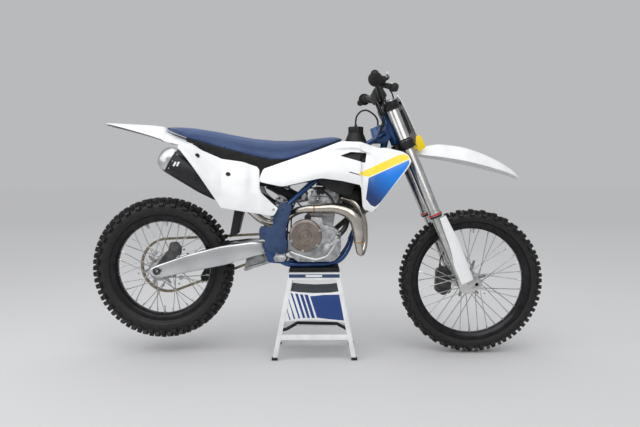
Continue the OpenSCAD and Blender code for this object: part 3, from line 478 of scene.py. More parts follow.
world = bpy.data.worlds.new("studio")
bpy.context.scene.world = world
world.use_nodes = True
tree = world.node_tree
sky = tree.nodes["Background"]
sky.inputs["Color"].default_value = (0.97, 0.98, 1.0, 1)
sky.inputs["Strength"].default_value = 0.46
paper = tree.nodes.new("ShaderNodeBackground")  # what shows behind the bike
paper.inputs["Color"].default_value = (0.487, 0.49, 0.498, 1)
paper.inputs["Strength"].default_value = 1.0
seen = tree.nodes.new("ShaderNodeLightPath")
either = tree.nodes.new("ShaderNodeMixShader")
tree.links.new(seen.outputs["Is Camera Ray"], either.inputs["Fac"])
tree.links.new(sky.outputs["Background"], either.inputs[1])
tree.links.new(paper.outputs["Background"], either.inputs[2])
tree.links.new(either.outputs["Shader"], tree.nodes["World Output"].inputs["Surface"])
bpy.context.scene.view_settings.view_transform = "Standard"

bpy.ops.object.light_add(type="SUN", location=spot(-600, -1500, 3500))
softSun = bpy.context.object
softSun.data.energy = 1.55
softSun.data.angle = math.radians(75)
softSun.rotation_euler = (spot(0, 0, 0) - spot(-500, -1500, 2700)).to_track_quat("-Z", "Y").to_euler()
lamps = [  # place in drawing millimetres, size in metres, power
    ((300, -2400, 2600), 2.0, 14), ((-2200, -1200, 1500), 1.6, 10), ((0, 700, 3000), 2.4, 16),
]
for place, size, power in lamps:
    bpy.ops.object.light_add(type="AREA", location=spot(*place))
    lamp = bpy.context.object
    lamp.data.size = size
    lamp.data.energy = power
    aim = spot(0, 0, 550) - lamp.location
    lamp.rotation_euler = aim.to_track_quat("-Z", "Y").to_euler()
print("camera, light and floor set")


# a merged copy of a CAD node with its hard edges softened
def fromNode(node, edge=0.0, segments=2, merge=0.00002, flat=1.0):
    source = frame["nodes"][node]
    piece = bpy.data.objects.new(node + "Copy", source.data.copy())
    bpy.context.scene.collection.objects.link(piece)
    editAll(piece)
    bpy.ops.mesh.remove_doubles(threshold=merge)
    if flat:
        bpy.ops.mesh.dissolve_limited(angle_limit=math.radians(flat))
    bpy.ops.object.mode_set(mode="OBJECT")
    if edge:
        modify(piece, "BEVEL", width=edge, segments=segments, limit_method="ANGLE",
               angle_limit=math.radians(38), use_clamp_overlap=True)
    return piece


def aroundAxle(centre, degrees, axis="Y"):
    return Matrix.Translation(centre) @ Matrix.Rotation(math.radians(degrees), 4, axis) @ Matrix.Translation(-centre)


# copies of a piece all round an axle, as one mesh
def ringOf(piece, centre, count, name, start=0.0):
    copies = [copyOf(piece, aroundAxle(centre, start + 360 * k / count)) for k in range(count)]
    dropped(piece)
    return joined(copies, name)


# wheels
# one tread block standing out of the carcass at the front of the wheel
def treadKnob(centre, radius, y, lean, size, height, turn=0.0, sink=0.003):
    along, across = size
    bpy.ops.mesh.primitive_cube_add(size=1)
    knob = bpy.context.object
    for vertex in knob.data.vertices:
        top = vertex.co.z > 0
        vertex.co = Vector((
            vertex.co.x * along * (0.86 if top else 1.08), vertex.co.y * across * (0.84 if top else 1.08),
            height if top else -sink))
    softenEdges(knob, 0.0009, 1, 40)
    place = (Matrix.Translation(centre + Vector((0, y, radius))) @ Matrix.Rotation(-lean, 4, "X")
             @ Matrix.Rotation(turn, 4, "Z"))
    placeMesh(knob, place)
    return knob


def mirroredProfile(half):
    return half + [(radius, -y) for radius, y in reversed(half) if y != 0]


def knobbedTyre(name, body, centre, tyre):
    whole = [(radius / 1000, y / 1000) for radius, y in mirroredProfile(tyre["carcass"])]
    carcass = turnedRing(whole, 120, centre)
    pitch = 360 / tyre["pitches"]
    knobs = []
    for radius, y, lean, size, height, shift, turn in tyre["knobs"]:
        sides = (1, -1) if y else (1,)
        for side in sides:
            knob = treadKnob(centre, radius / 1000, side * y / 1000, side * math.radians(lean),
                             (size[0] / 1000, size[1] / 1000), height / 1000, side * math.radians(turn))
            knob.data.transform(aroundAxle(centre, pitch * shift))
            knobs.append(knob)
    sector = joined(knobs, "sector")
    tread = ringOf(sector, centre, tyre["pitches"], "tread")
    ridge = tyre["ridge"]
    ridges = []
    for side in (1, -1):
        for radius, y, thick in ridge:
            loop = [(radius / 1000 + thick / 1000 * math.cos(a), side * (y / 1000 + thick / 1000 * math.sin(a) * 0.6))
                    for a in [math.radians(60 * k) for k in range(6)]]
            ridges.append(turnedRing(loop, 96, centre))
    piece = joined([carcass, tread] + ridges, name)
    return finished(piece, name, body, looks["rubber"], [tyre["node"]], smooth=32)


frontTyre = {
    "node": "front_tyre", "pitches": 36,
    "carcass": [(273.3, 22), (285, 22.4), (288, 28.5), (299, 33), (309, 34.4), (317, 32.6), (325, 26.5), (330.5, 18),
                (333, 9), (333.6, 0)],
    "knobs": [  # radius, y, lean, (along, across), height, share of a pitch, turn
        (332.4, 9, 12, (20, 12), 14.2, 0.0, 6), (327.4, 22, 34, (18, 12), 15, 0.5, -8),
        (317.5, 30, 62, (23, 12), 12.4, 0.04, 0),
    ],
    "ridge": [(291, 30.2, 1.4), (302, 33.8, 0.9)],
}
rearTyre = {
    "node": "rear_tyre", "pitches": 34,
    "carcass": [(242.3, 29), (254, 29.4), (258, 35.5), (274, 43), (289, 45), (301, 43), (311, 36), (318.5, 25),
                (322, 12.5), (322.6, 0)],
    "knobs": [
        (322, 0, 0, (22, 24), 17.6, 0.5, 0), (320, 18, 14, (23, 16), 18, 0.0, 4),
        (314, 32, 36, (21, 14), 18.5, 0.5, -6), (302.5, 40.5, 66, (27, 15), 14.5, 0.02, 0),
    ],
    "ridge": [(262, 38.2, 1.6), (275, 43.4, 1.0)],
}
knobbedTyre("frontTyre", "front_wheel", frontAxle, frontTyre)
knobbedTyre("rearTyre", "rear_wheel", rearAxle, rearTyre)
print("tyres made")


def rimPiece(name, node, body, centre, rim):
    ring = fromNode(node, 0.0012)
    inner = rim["inner"] / 1000

    def fitting(low, high, radius, sides):  # a bar that stands on the rim, low and high in radius
        return roundBar(centre + Vector((0, 0, low)), centre + Vector((0, 0, high)), radius, sides, 0.0005)

    valve = roundBar(centre + Vector((0, 0, 0.001 - inner)), centre + Vector((0, 0, 0.034 - inner)), 0.0032, 12, 0.0005)
    nut = roundBar(centre + Vector((0, 0, 0.0005 - inner)), centre + Vector((0, 0, 0.006 - inner)), 0.0066, 6, 0.0004)
    extras = [valve, nut]
    for degrees in rim["locks"]:
        for part in (fitting(inner - 0.022, inner + 0.002, 0.0042, 12),
                     fitting(inner - 0.008, inner - 0.0005, 0.0075, 6)):
            part.data.transform(aroundAxle(centre, degrees))
            extras.append(part)
    dress = joined(extras, name + "Fittings")
    finished(dress, name + "Fittings", body, looks["steel"])
    return finished(ring, name, body, looks["rimBlack"], [node])


rimPiece("frontRim", "front_rim", "front_wheel", frontAxle, {"inner": 253, "locks": (-22, 4)})
rimPiece("rearRim", "rear_rim", "rear_wheel", rearAxle, {"inner": 222, "locks": (-22, 4)})


def hubPiece(name, node, body, centre, inner, spokes=36):
    hub = fromNode(node, 0.0)
    nipples = []
    for k in range(spokes):
        side = 1 if k % 2 == 0 else -1
        turn = Matrix.Rotation(-math.radians(360 * k / spokes), 4, "Y")
        foot = centre + turn @ Vector((inner / 1000 + 0.0005, side * 0.006, 0))
        toe = centre + turn @ Vector((inner / 1000 - 0.016, side * 0.0082, 0))
        nipples.append(roundBar(foot, toe, 0.0031, 8))
    sleeve = joined(nipples, "nipples")
    piece = joined([hub, sleeve], name)
    return finished(piece, name, body, looks["steel"], [node])


hubPiece("frontHub", "front_hub", "front_wheel", frontAxle, 253)
hubPiece("rearHub", "rear_hub", "rear_wheel", rearAxle, 222)


# an open wall round an axle at the origin, with a radius for each of its steps
def wallRound(radii, thickness):
    count = len(radii)
    bpy.ops.mesh.primitive_cylinder_add(vertices=count, radius=0.1, depth=thickness, end_fill_type="NOTHING")
    wall = bpy.context.object
    wall.data.transform(Matrix.Rotation(math.radians(90), 4, "X"))
    for vertex in wall.data.vertices:
        angle = math.atan2(vertex.co.z, vertex.co.x) % (2 * math.pi)
        k = round(angle / (2 * math.pi) * count) % count
        vertex.co = Vector((radii[k] * math.cos(angle), vertex.co.y, radii[k] * math.sin(angle)))
    return wall


# a flat ring between two such walls, with round holes (radius, count, size, first angle) through it
def holedPlate(outer, inner, y, thickness, centre, holes, edge=0.0004):
    piece = joined([wallRound(outer, thickness), wallRound(inner, thickness)], "ring")
    for side in (1, -1):
        pick(piece)
        for edgeLine in piece.data.edges:
            edgeLine.select = all(piece.data.vertices[v].co.y * side > thickness * 0.4 for v in edgeLine.vertices)
        for vertex in piece.data.vertices:
            vertex.select = vertex.co.y * side > thickness * 0.4
        for face in piece.data.polygons:
            face.select = False
        bpy.ops.object.mode_set(mode="EDIT")
        bpy.ops.mesh.select_mode(type="EDGE")
        bpy.ops.mesh.bridge_edge_loops()
        bpy.ops.object.mode_set(mode="OBJECT")
    facesOut(piece)
    if holes:
        cutters = []
        for radius, holeCount, size, start in holes:
            for k in range(holeCount):
                angle = math.radians(start + 360 * k / holeCount)
                at = Vector((radius * math.cos(angle), 0, radius * math.sin(angle)))
                through = Vector((0, thickness * 2, 0))
                cutters.append(roundBar(at - through, at + through, size, 12))
        cutter = joined(cutters, "cutter")
        modify(piece, "BOOLEAN", object=cutter, operation="DIFFERENCE", solver="EXACT")
        dropped(cutter)
    if edge:
        softenEdges(piece, edge, 1, 60)
    piece.data.transform(Matrix.Translation(centre + Vector((0, y, 0))))
    return piece


def brakeDisc(name, node, body, centre, disc):
    count = 144
    ripple = [0.5 - 0.5 * math.cos(2 * math.pi * disc["waves"] * k / count) for k in range(count)]
    outer = [(disc["outer"] - disc["wave"] * rise) / 1000 for rise in ripple]
    inner = [(disc["inner"] + disc["wave"] * 0.8 * rise) / 1000 for rise in ripple]
    band = (disc["outer"] - disc["inner"]) / 1000
    holes = [(disc["inner"] / 1000 + band * share, disc["holes"], 0.0034, shift)
             for share, shift in ((0.32, 0), (0.52, 5), (0.72, 10))]
    ring = holedPlate(outer, inner, disc["y"] / 1000, 0.0038, centre, holes)
    arms = []
    for k in range(disc["arms"]):
        start, stop = disc["bore"] / 1000, (disc["inner"] + 4) / 1000
        bpy.ops.mesh.primitive_cube_add(size=1)
        arm = bpy.context.object
        for vertex in arm.data.vertices:
            far = vertex.co.x > 0
            vertex.co = Vector((stop if far else start, vertex.co.y * 0.0036,
                                vertex.co.z * (0.010 if far else 0.022) + (0.012 if far else 0)))
        placeMesh(arm, Matrix.Translation(centre + Vector((0, disc["y"] / 1000, 0))) @
                  Matrix.Rotation(math.radians(360 * k / disc["arms"]), 4, "Y"))
        arms.append(arm)
    bossRadius = [(disc["bore"] + 12) / 1000] * 72
    boss = holedPlate(bossRadius, [disc["bore"] / 1000] * 72, disc["y"] / 1000, 0.0038, centre,
                      [((disc["bore"] + 6) / 1000, 6, 0.0026, 30)])
    piece = joined([ring, boss] + arms, name)
    return finished(piece, name, body, looks["discSteel"], [node])


brakeDisc("frontDisc", "front_disc", "front_wheel", frontAxle,
          {"outer": 129.8, "inner": 92, "wave": 4, "waves": 12, "holes": 36, "arms": 6, "bore": 30.5, "y": 58})
brakeDisc("rearDisc", "rear_disc", "rear_wheel", rearAxle,
          {"outer": 109.8, "inner": 78, "wave": 4, "waves": 12, "holes": 30, "arms": 6, "bore": 40.5, "y": -78})
print("brake discs made")


# bodywork
# more stations between the given ones, on straight runs whose corners are rounded off within reach
def easedStations(stations, step, reach=16):
    count = len(stations)
    runs = [stations[i + 1][0] - stations[i][0] for i in range(count - 1)]

    def valueAt(x, i, c):  # on the run after station i
        here, there = stations[i], stations[i + 1]
        climb = (there[c] - here[c]) / runs[i]
        value = here[c] + climb * (x - here[0])
        if i > 0:
            r = min(reach, abs(runs[i]) * 0.48, abs(runs[i - 1]) * 0.48)
            back = abs(x - here[0])
            if back < r:
                before = (here[c] - stations[i - 1][c]) / runs[i - 1]
                value += (climb - before) * (r - back) ** 2 / (4 * r) * (1 if runs[i] > 0 else -1)
        if i < count - 2:
            r = min(reach, abs(runs[i]) * 0.48, abs(runs[i + 1]) * 0.48)
            ahead = abs(there[0] - x)
            if ahead < r:
                after = (stations[i + 2][c] - there[c]) / runs[i + 1]
                value += (after - climb) * (r - ahead) ** 2 / (4 * r) * (1 if runs[i] > 0 else -1)
        return value

    out = []
    for i in range(count - 1):
        parts = max(1, round(abs(runs[i]) / step))
        for k in range(parts):
            x = stations[i][0] + runs[i] * k / parts
            out.append([x] + [valueAt(x, i, c) for c in range(1, len(stations[0]))])
    return out + [list(stations[-1])]


def softStep(value):
    value = min(1, max(0, value))
    return value * value * (3 - 2 * value)


def coverY(station, t):
    return blended(station[3], station[4], t) + station[5] * 4 * t * (1 - t)


# the outer face of a right-hand cover
def coverSheet(stations, step=9, across=26, dent=None):
    rows = []
    for s in reversed(easedStations(stations, step)):
        row = []
        for k in range(across + 1):
            t = k / across
            z = blended(s[1], s[2], t)
            y = coverY(s, t)
            if dent:
                y -= dent(s[0], z)
            row.append(spot(s[0], -y, z))
        rows.append(row)
    return gridPiece(rows)


# the place on a right-hand cover at a point of the side view
def coverPoint(stations, x, z, out=0.0):
    fine = easedStations(stations, 4)
    s = min(fine, key=lambda row: abs(row[0] - x))
    t = (z - s[1]) / (s[2] - s[1])
    return spot(x, -coverY(s, t) - out, z)


sideCovers = {
    "stations": [
        (-629, 985, 996, 172, 164, 0), (-572, 912, 1004, 178, 112, 14), (-540, 868, 978, 180, 104, 20),
        (-443, 722, 936, 172, 98, 24), (-440, 712, 935, 172, 98, 24), (-346, 695, 922, 168, 96, 20),
        (-290, 686, 902, 160, 100, 10), (-268, 683, 896, 156, 104, 8), (-264, 682, 786, 155, 140, 4),
        (-240, 678, 762, 151, 138, 4), (-198, 672, 722, 146, 136, 2), (-182, 704, 709, 142, 140, 0)],
    "bolts": [(-546, 947), (-408, 862)], "screw": (-200, 701),
}


def coverDent(x, z):  # a shallow step where the shroud's tail lies over the cover
    return 3.5 * softStep((x + 330) / 26) * softStep((z - 770) / 30)


cover = coverSheet(sideCovers["stations"], dent=coverDent)
thickened(cover, 0.003, 0.0009)
coverPair = joined([cover, mirrorAcross(cover)], "sideCovers")
finished(coverPair, "sideCovers", "chassis", looks["white"], ["side_panels"], smooth=40)
bolts, screws = [], []
for x, z in sideCovers["bolts"]:
    at = coverPoint(sideCovers["stations"], x, z)
    bolts.append(boltHead(at + Vector((0, 0.0004, 0)), Vector((0, -1, 0)), 0.0082, 0.0045))
    bolts.append(roundBar(at + Vector((0, 0.001, 0)), at - Vector((0, 0.0012, 0)), 0.0115, 24, 0.0004))
at = coverPoint(sideCovers["stations"], *sideCovers["screw"])
screws.append(boltHead(at, Vector((0, -1, 0)), 0.0058, 0.003))
bolts += [mirrorAcross(bolt) for bolt in bolts]
screws += [mirrorAcross(screw) for screw in screws]
grouped(bolts, "coverBolts", "chassis", "black")
grouped(screws, "coverScrews", "chassis", "steel")

shrouds = {
    "stations": [
        (-262, 832, 842, 170, 168, 0), (-250, 826, 888, 168, 116, 8), (-161, 806, 920, 162, 96, 14),
        (18, 845, 982, 160, 86, 20), (100, 834, 1014, 164, 78, 24), (114, 832, 1018, 166, 80, 24),
        (200, 812, 1014, 172, 96, 22), (206, 706, 1012, 168, 98, 26), (256, 688, 994, 170, 108, 26),
        (286, 732, 982, 176, 124, 22), (312, 768, 984, 182, 140, 16), (388, 862, 964, 190, 166, 6),
        (411, 892, 948, 192, 180, 2), (422, 916, 924, 192, 190, 0)],
    "scoop": [(107, 947.5), (114, 951), (150, 964), (156, 966), (222, 961.5), (227, 959), (227.5, 954), (221, 918),
              (217, 915), (211, 916)],
}


def scoopDent(x, z):  # the hollow that leads the air down into the scoop
    ceiling = 978 + 10 * softStep((x - 20) / 110) - 24 * softStep((x - 170) / 80)
    inside = softStep((ceiling - z) / 12) * softStep((z - 925) / 22)
    return 11 * inside * softStep((x - 10) / 130) * softStep((262 - x) / 34)


def shroudDent(x, z):
    tuck = 2.5 * softStep((x - 196) / 14) * softStep((852 - z) / 22) * softStep((250 - x) / 40)
    return scoopDent(x, z) - tuck * 0.4


shroud = coverSheet(shrouds["stations"], 7, 40, shroudDent)
thickened(shroud, 0.003, 0.0)
scoopCut = plateFrom(shrouds["scoop"], -260, -60, edge=0)
modify(shroud, "BOOLEAN", object=scoopCut, operation="DIFFERENCE", solver="EXACT")
dropped(scoopCut)
softenEdges(shroud, 0.0008, degrees=55)
shroudPair = joined([shroud, mirrorAcross(shroud)], "radiatorShrouds")
finished(shroudPair, "radiatorShrouds", "chassis", looks["shroud"], ["shrouds"], smooth=40)
rows = [[coverPoint(shrouds["stations"], x, z, -16 - 0.10 * (x - 88)) for z in range(900, 988, 8)]
        for x in range(246, 88, -8)]
lining = [thickened(gridPiece(rows), 0.002, 0)]
lining += [mirrorAcross(part) for part in lining]
grouped(lining, "scoopLinings", "chassis", "black")
print("shrouds and side covers made")


def fenderSheet(stations, step, across, crown, drop=0.0):
    rows = []
    for s in reversed(easedStations(stations, step, 60)):
        row = []
        for k in range(-across, across + 1):
            t = k / across
            z = s[2] - s[3] * abs(t) ** 2.6 - drop + crown(s, t)
            row.append(spot(s[0], s[1] * t, z))
        rows.append(row)
    return gridPiece(rows)


rearFender = [
    (-995.5, 42, 1111, 5), (-950, 56, 1109, 14), (-860, 74, 1104, 34), (-790, 84, 1101, 52), (-724, 92, 1092, 64),
    (-714, 94, 1070, 50), (-640, 98, 1043.6, 42), (-580, 100, 1021.2, 30)]


def rearCrown(s, t):  # two soft ridges along the tail
    return -1.6 * (1 - softStep(abs(abs(t) - 0.52) / 0.1)) * softStep((-730 - s[0]) / 30)


tail = fenderSheet(rearFender, 9, 24, rearCrown)
thickened(tail, 0.003, 0.0009)
finished(tail, "rearFender", "chassis", looks["white"], ["rear_fender"], smooth=40)
# a grey sheet just below the rear fender, in place of the shade under it: painted shade
tailShadeSheet = fenderSheet([(s[0], s[1] * 0.97, s[2] - 0.5, s[3] * 0.96) for s in rearFender[:6]], 12, 14,
                    lambda s, t: 0.0, drop=6.5)
thickened(tailShadeSheet, 0.002, 0.0)
finished(tailShadeSheet, "tailShadeGrey", "chassis", looks["tailUnderShade"])

frontFender = [
    (412, 50, 962, 10), (452, 62, 981, 20), (520, 86, 1001, 50), (578, 98, 1010, 66), (700, 100, 996, 72),
    (800, 92, 961, 62), (884, 74, 920, 44), (944, 50, 880, 24), (972, 24, 846, 6)]


def frontCrown(s, t):
    ridge = 1 - softStep(abs(abs(t) - 0.5) / 0.09)
    return -2.0 * ridge * softStep((s[0] - 560) / 60) * softStep((950 - s[0]) / 60)


nose = fenderSheet(frontFender, 9, 26, frontCrown)
thickened(nose, 0.003, 0.0009)
finished(nose, "frontFender", "steering", looks["white"], ["front_fender"], smooth=40)
print("fenders made")

plateStations = [
    (323, 40, 104), (350, 66, 104), (400, 92, 100), (480, 100, 96), (544, 94, 92), (560, 92, 92), (586, 78, 88)]
rows = []
for s in easedStations(plateStations, 8, 30):
    rows.append([steerSpot(s[2] - 14 * (k / 12) ** 2, s[1] * k / 12, s[0]) for k in range(-12, 13)])
plate = gridPiece(rows)
thickened(plate, 0.003, 0.0008)
finished(plate, "numberPlate", "steering", looks["white"], ["number_plate"], smooth=40)
cornerSet = {
    "outline": [(459, 1040), (464, 1044), (481, 1043), (485, 1038), (507, 992), (505, 987), (477, 969), (471, 970),
                (458, 1007)],
    "y": 92, "half": 1.4, "turn": 10, "about": (470, 1007),
}
corners = []
for side in (-1, 1):
    y, (aboutX, aboutZ) = side * cornerSet["y"], cornerSet["about"]
    corner = plateFrom(cornerSet["outline"], y - cornerSet["half"], y + cornerSet["half"], 0.0008)
    placeMesh(corner, aroundAxle(spot(aboutX, y, aboutZ), -side * cornerSet["turn"], "Z"))
    corners.append(corner)
grouped(corners, "plateCorners", "steering", "yellow")

guardStations = [(-16, 30, 64), (-70, 26, 68), (-148, 24, 76), (-196, 20, 76), (-244, 8, 74), (-341, 10, 72)]
rows = []
for s in reversed(easedStations([(-a, b, c) for a, b, c in guardStations], 8, 30)):
    up, rear, front = -s[0], s[1], s[2]
    line = [(rear, -137), (rear + (front - rear) * 0.6, -137), (front, -126), (front, -92)]
    row = []
    for k in range(25):
        t = k / 24 * 3
        i = min(2, int(t))
        a, b = Vector(line[i]), Vector(line[i + 1])
        here = a.lerp(b, t - i)
        row.append(here)
    for _ in range(3):
        row = [row[0]] + [(row[k - 1] + row[k] * 2 + row[k + 1]) / 4 for k in range(1, 24)] + [row[24]]
    rows.append([steerSpot(p.x, p.y, up) for p in row])
guard = gridPiece(rows)
thickened(guard, 0.003, 0.0009)
guardPair = joined([guard, mirrorAcross(guard)], "forkGuards")
finished(guardPair, "forkGuards", "steering", looks["white"], ["fork_guards"], smooth=40)
print("number plate and fork guards made")

# nodes carried over with softened edges
bodyOf = {node: body for body, nodes in frame["record"]["behaviour"]["bodies"].items() for node in nodes}


def softened(node, name, finish, edge, extras=(), flat=1.0, smooth=38):
    piece = joined([fromNode(node, edge, flat=flat)] + list(extras), name)
    return finished(piece, name, bodyOf[node], looks[finish], [node], smooth=smooth)


def boltsAt(places, facing, radius=0.0055, height=0.005):
    return [boltHead(spot(*place), Vector(facing), radius, height) for place in places]


softened("frame", "bikeFrame", "blueFrame", 0.0012)
softened("subframe", "seatFrame", "blackMetal", 0.001)
softened("airbox", "airBox", "black", 0.003)
softened("mud_flap", "mudFlap", "black", 0.004)
softened("frame_guards", "frameGuards", "guard", 0.002,
         [part for y, way in ((-112, -1), (112, 1)) for part in boltsAt(
             [(-196, y, 640), (-160, y, 700), (-196, y, 520), (-248, y, 588)], (0, way, 0), 0.006, 0.003)])
print("frame made")

# engine
engineSet = {
    "caseBolts": [(-126, 500), (-88, 464), (-20, 462), (62, 464), (98, 490), (106, 540), (104, 588), (56, 616),
                  (-128, 576)],
    "clutch": (-54, 581), "pump": (48, 516),
}
cover = plateFrom([(-128, 500), (-90, 463), (70, 463), (98, 486), (104, 520), (103, 586), (58, 616), (30, 628),
                   (22, 664), (-30, 668), (-66, 662), (-112, 618), (-132, 580)], -104, -113, 0.005, 3)
pump = [(0, -132), (16, -132), (18, -129.5), (26, -128), (30, -122), (31, -104), (0, -104)]
px, pz = engineSet["pump"]
pumpCover = turnedRing([(r / 1000, y / 1000) for r, y in pump], 40, spot(px, 0, pz))
pumpSpout = barAlong([spot(px + 8, -118, pz + 10), spot(px + 34, -118, pz + 34), spot(px + 44, -112, pz + 60)],
                     0.0125, 20)
ribs = []
for k in range(5):
    ribs.append(plateFrom([(-52 + 4 * k, 668 + 15 * k), (66 + 4 * k, 668 + 15 * k), (66 + 4 * k, 672 + 15 * k),
                           (-52 + 4 * k, 672 + 15 * k)], -56, -49, 0.0008))
headCover = plateFrom([(-34, 760), (96, 756), (90, 800), (-8, 808)], -57, -49, 0.004, 2)
caseBolts = boltsAt([(x, -113, z) for x, z in engineSet["caseBolts"]], (0, -1, 0), 0.0062, 0.006)
pumpBolts = boltsAt([(px + 24 * math.cos(a), -127, pz + 24 * math.sin(a)) for a in (0.4, 2.5, 4.4)], (0, -1, 0),
                    0.005, 0.005)
headBolts = boltsAt([(-14, -57, 786), (36, -57, 786), (80, -57, 776), (36, -57, 766)], (0, -1, 0), 0.005, 0.005)
leftBolts = boltsAt([(-48, 96, 486), (60, 96, 474), (96, 96, 500), (98, 96, 574), (50, 96, 610), (-46, 96, 618)],
                    (0, 1, 0), 0.0062, 0.006)
softened("engine", "engineBlock", "cast", 0.003,
         [cover, pumpCover, pumpSpout, headCover] + ribs)
grouped(caseBolts + pumpBolts + headBolts + leftBolts, "engineBolts", "chassis", "steel")
clutchX, clutchZ = engineSet["clutch"]
clutchProfile = [(0, -149.6), (10, -149.6), (11.5, -147), (28, -147), (29.5, -149.4), (44, -149.2), (45.5, -146.4),
                 (57, -146), (58.5, -148), (66, -147.4), (72.5, -143.5), (75.5, -138), (76, -105), (0, -105)]
clutch = turnedRing([(r / 1000, y / 1000) for r, y in clutchProfile], 72, spot(clutchX, 0, clutchZ))
clutchBolts = [boltHead(spot(clutchX, -145.5, clutchZ) + Vector((0.0700 * math.cos(math.radians(a)), 0,
                                                         0.0700 * math.sin(math.radians(a)))), Vector((0, -1, 0)),
                        0.0058, 0.005) for a in range(20, 380, 60)]
arcs = [plateFrom([(clutchX + r * math.cos(math.radians(a)), clutchZ + r * math.sin(math.radians(a)))
                   for r, a in ((12, start), (27, start - 6), (27, start + 30), (12, start + 24))],
                  -149.2, -147, 0.0008) for start in (40, 160, 280)]
statorProfile = [(0, 130), (30, 129), (34, 126.5), (50, 126.2), (54, 125.5), (60, 120), (62, 115), (62, 96.5),
                 (0, 96.5)]
stator = turnedRing([(r / 1000, y / 1000) for r, y in statorProfile], 64, spot(18, 0, 560))
covers = joined([clutch, stator] + arcs, "engineCovers")
finished(covers, "engineCovers", "chassis", looks["bronze"], ["engine_covers"], smooth=30)
grouped(clutchBolts, "clutchBolts", "chassis", "steel")
oilCap = turnedRing([(0, -0.126), (0.009, -0.126), (0.011, -0.124), (0.011, -0.119), (0.015, -0.118),
                     (0.0155, -0.112), (0, -0.112)], 24, spot(-44, 0, 664))
finished(oilCap, "oilCap", "chassis", looks["black"])


port, way = Vector((90, -8, 752)), Vector((34, -20, -2)).normalized()
pipeWay = Vector((-252, 0, 152)).normalized()
pipeEnd = Vector((-416, -118, 772))
route = [port + way * 26.3, port + way * 56] + [Vector(p) for p in (
    (190, -60, 716), (216, -72, 650), (222, -78, 580), (217, -94, 518), (202, -120, 497), (192, -133, 532),
    (189, -138, 600), (166, -132, 668), (100, -124, 702), (0, -122, 704), (-66, -112, 700), (-112, -74, 682),
    (-150, -66, 655), (-190, -62, 636), (-240, -62, 640), (-330, -96, 712))] + [
    pipeEnd - pipeWay * 40, pipeEnd - pipeWay * 2.3]
radii = [19, 19, 18, 17, 16, 15, 14.5, 17.5, 27.5, 30, 23, 18.5, 18, 18, 18, 18, 18, 18, 18, 18]
header = barAlong([spot(*p) for p in route], [r / 1000 for r in radii], 40)
finished(header, "headerPipe", "chassis", looks["titanium"], ["exhaust_header"], smooth=60)
bands = []
for a, b, radius in (((-18, -121.4, 703.6), (-9, -121.7, 704), 19.4), ((26, -122.2, 703.6), (35, -122.3, 703.4), 19.8),
                     ((191.3, -134.8, 548), (191.0, -135.4, 554), 22.6)):
    bands.append(pin(a, b, radius / 1000, 32, 0.001))
flange = roundBar(spot(*(port + way * 20)), spot(*(port + way * 27)), 0.026, 24, 0.0015)
grouped(bands, "weldBands", "chassis", "weld")
finished(flange, "exhaustFlange", "chassis", looks["cast"])

throttle = [pin((-104, -8, 752), (-46, -8, 764), 0.027, 32, 0.002),
            pin((-84, -34, 756), (-84, -58, 756), 0.017, 24, 0.002),
            pin((-62, -36, 790), (-50, -52, 770), 0.009, 16, 0.001),
            pin((-22, -57, 738), (-22, -72, 738), 0.011, 18, 0.0012),
            pin((6, -57, 772), (2, -76, 740), 0.008, 16, 0.001),
            plateFrom([(-74, 742), (-58, 742), (-52, 776), (-66, 788), (-76, 770)], -66, -50, 0.002),
            plateFrom([(18, 716), (40, 716), (44, 748), (24, 752)], -70, -49, 0.002)]
grouped(throttle, "throttleBody", "chassis", "cast")
darkBits = [plateFrom([(-6, 776), (30, 770), (40, 798), (2, 806)], -76, -50, 0.003),
            plateFrom([(86, 700), (112, 694), (118, 726), (94, 734)], -88, -58, 0.003),
            pin((-84, -58, 756), (-84, -66, 756), 0.012, 20, 0.001)]
grouped(darkBits, "ignitionParts", "chassis", "black")
hoses = [
    ([(92, -108, 572), (128, -96, 610), (148, -70, 656), (190, -52, 690), (226, -66, 708)], 12.5),
    ([(40, -40, 800), (96, -48, 828), (160, -54, 856), (230, -60, 866)], 12.5),
    ([(-60, -58, 790), (-30, -70, 800), (20, -74, 790), (60, -70, 760), (86, -76, 720)], 4),
    ([(-100, -60, 740), (-116, -74, 700), (-122, -84, 640), (-120, -92, 560)], 3.5),
    ([(236, -44, 700), (238, 0, 690), (236, 44, 700)], 10),
    ([(92, 60, 600), (140, 70, 640), (180, 66, 676), (226, 60, 704)], 12.5),
    ([(-30, 54, 780), (20, 62, 800), (90, 60, 830), (170, 58, 850)], 4),
    ([(10, 96, 616), (-20, 88, 660), (-70, 78, 700), (-110, 70, 740)], 3.5),
]
pipes = [barAlong([spot(*p) for p in line], r / 1000, 16) for line, r in hoses]
grouped(pipes, "engineHoses", "chassis", "hose", smooth=60)
clips = []
for a, b in (((230, -62, 706), (222, -62, 704)), ((98, -104, 578), (104, -102, 584)), ((226, 60, 702), (218, 60, 698))):
    clips.append(pin(a, b, 0.0142, 24, 0.0008))
joints = [pin((222, -70, 700), (246, -70, 712), 0.0135, 24, 0.001)]
grouped(clips + joints, "hoseClips", "chassis", "steel")
print("engine made")

ducts = []
for side in (-1, 1):
    ducts.append(plateFrom([(120, 700), (226, 696), (232, 880), (150, 880), (118, 770)], side * 42 - 1.5,
                           side * 42 + 1.5, 0.001))
    ducts.append(plateFrom([(118, 752), (200, 738), (206, 790), (120, 800)], side * 62 - 8, side * 62 + 8, 0.006, 3))
ducts.append(plateFrom([(-8, 812), (60, 806), (96, 800), (120, 790), (128, 850), (20, 858)], -44, -38, 0.003))
grouped(ducts, "radiatorDucts", "chassis", "black")

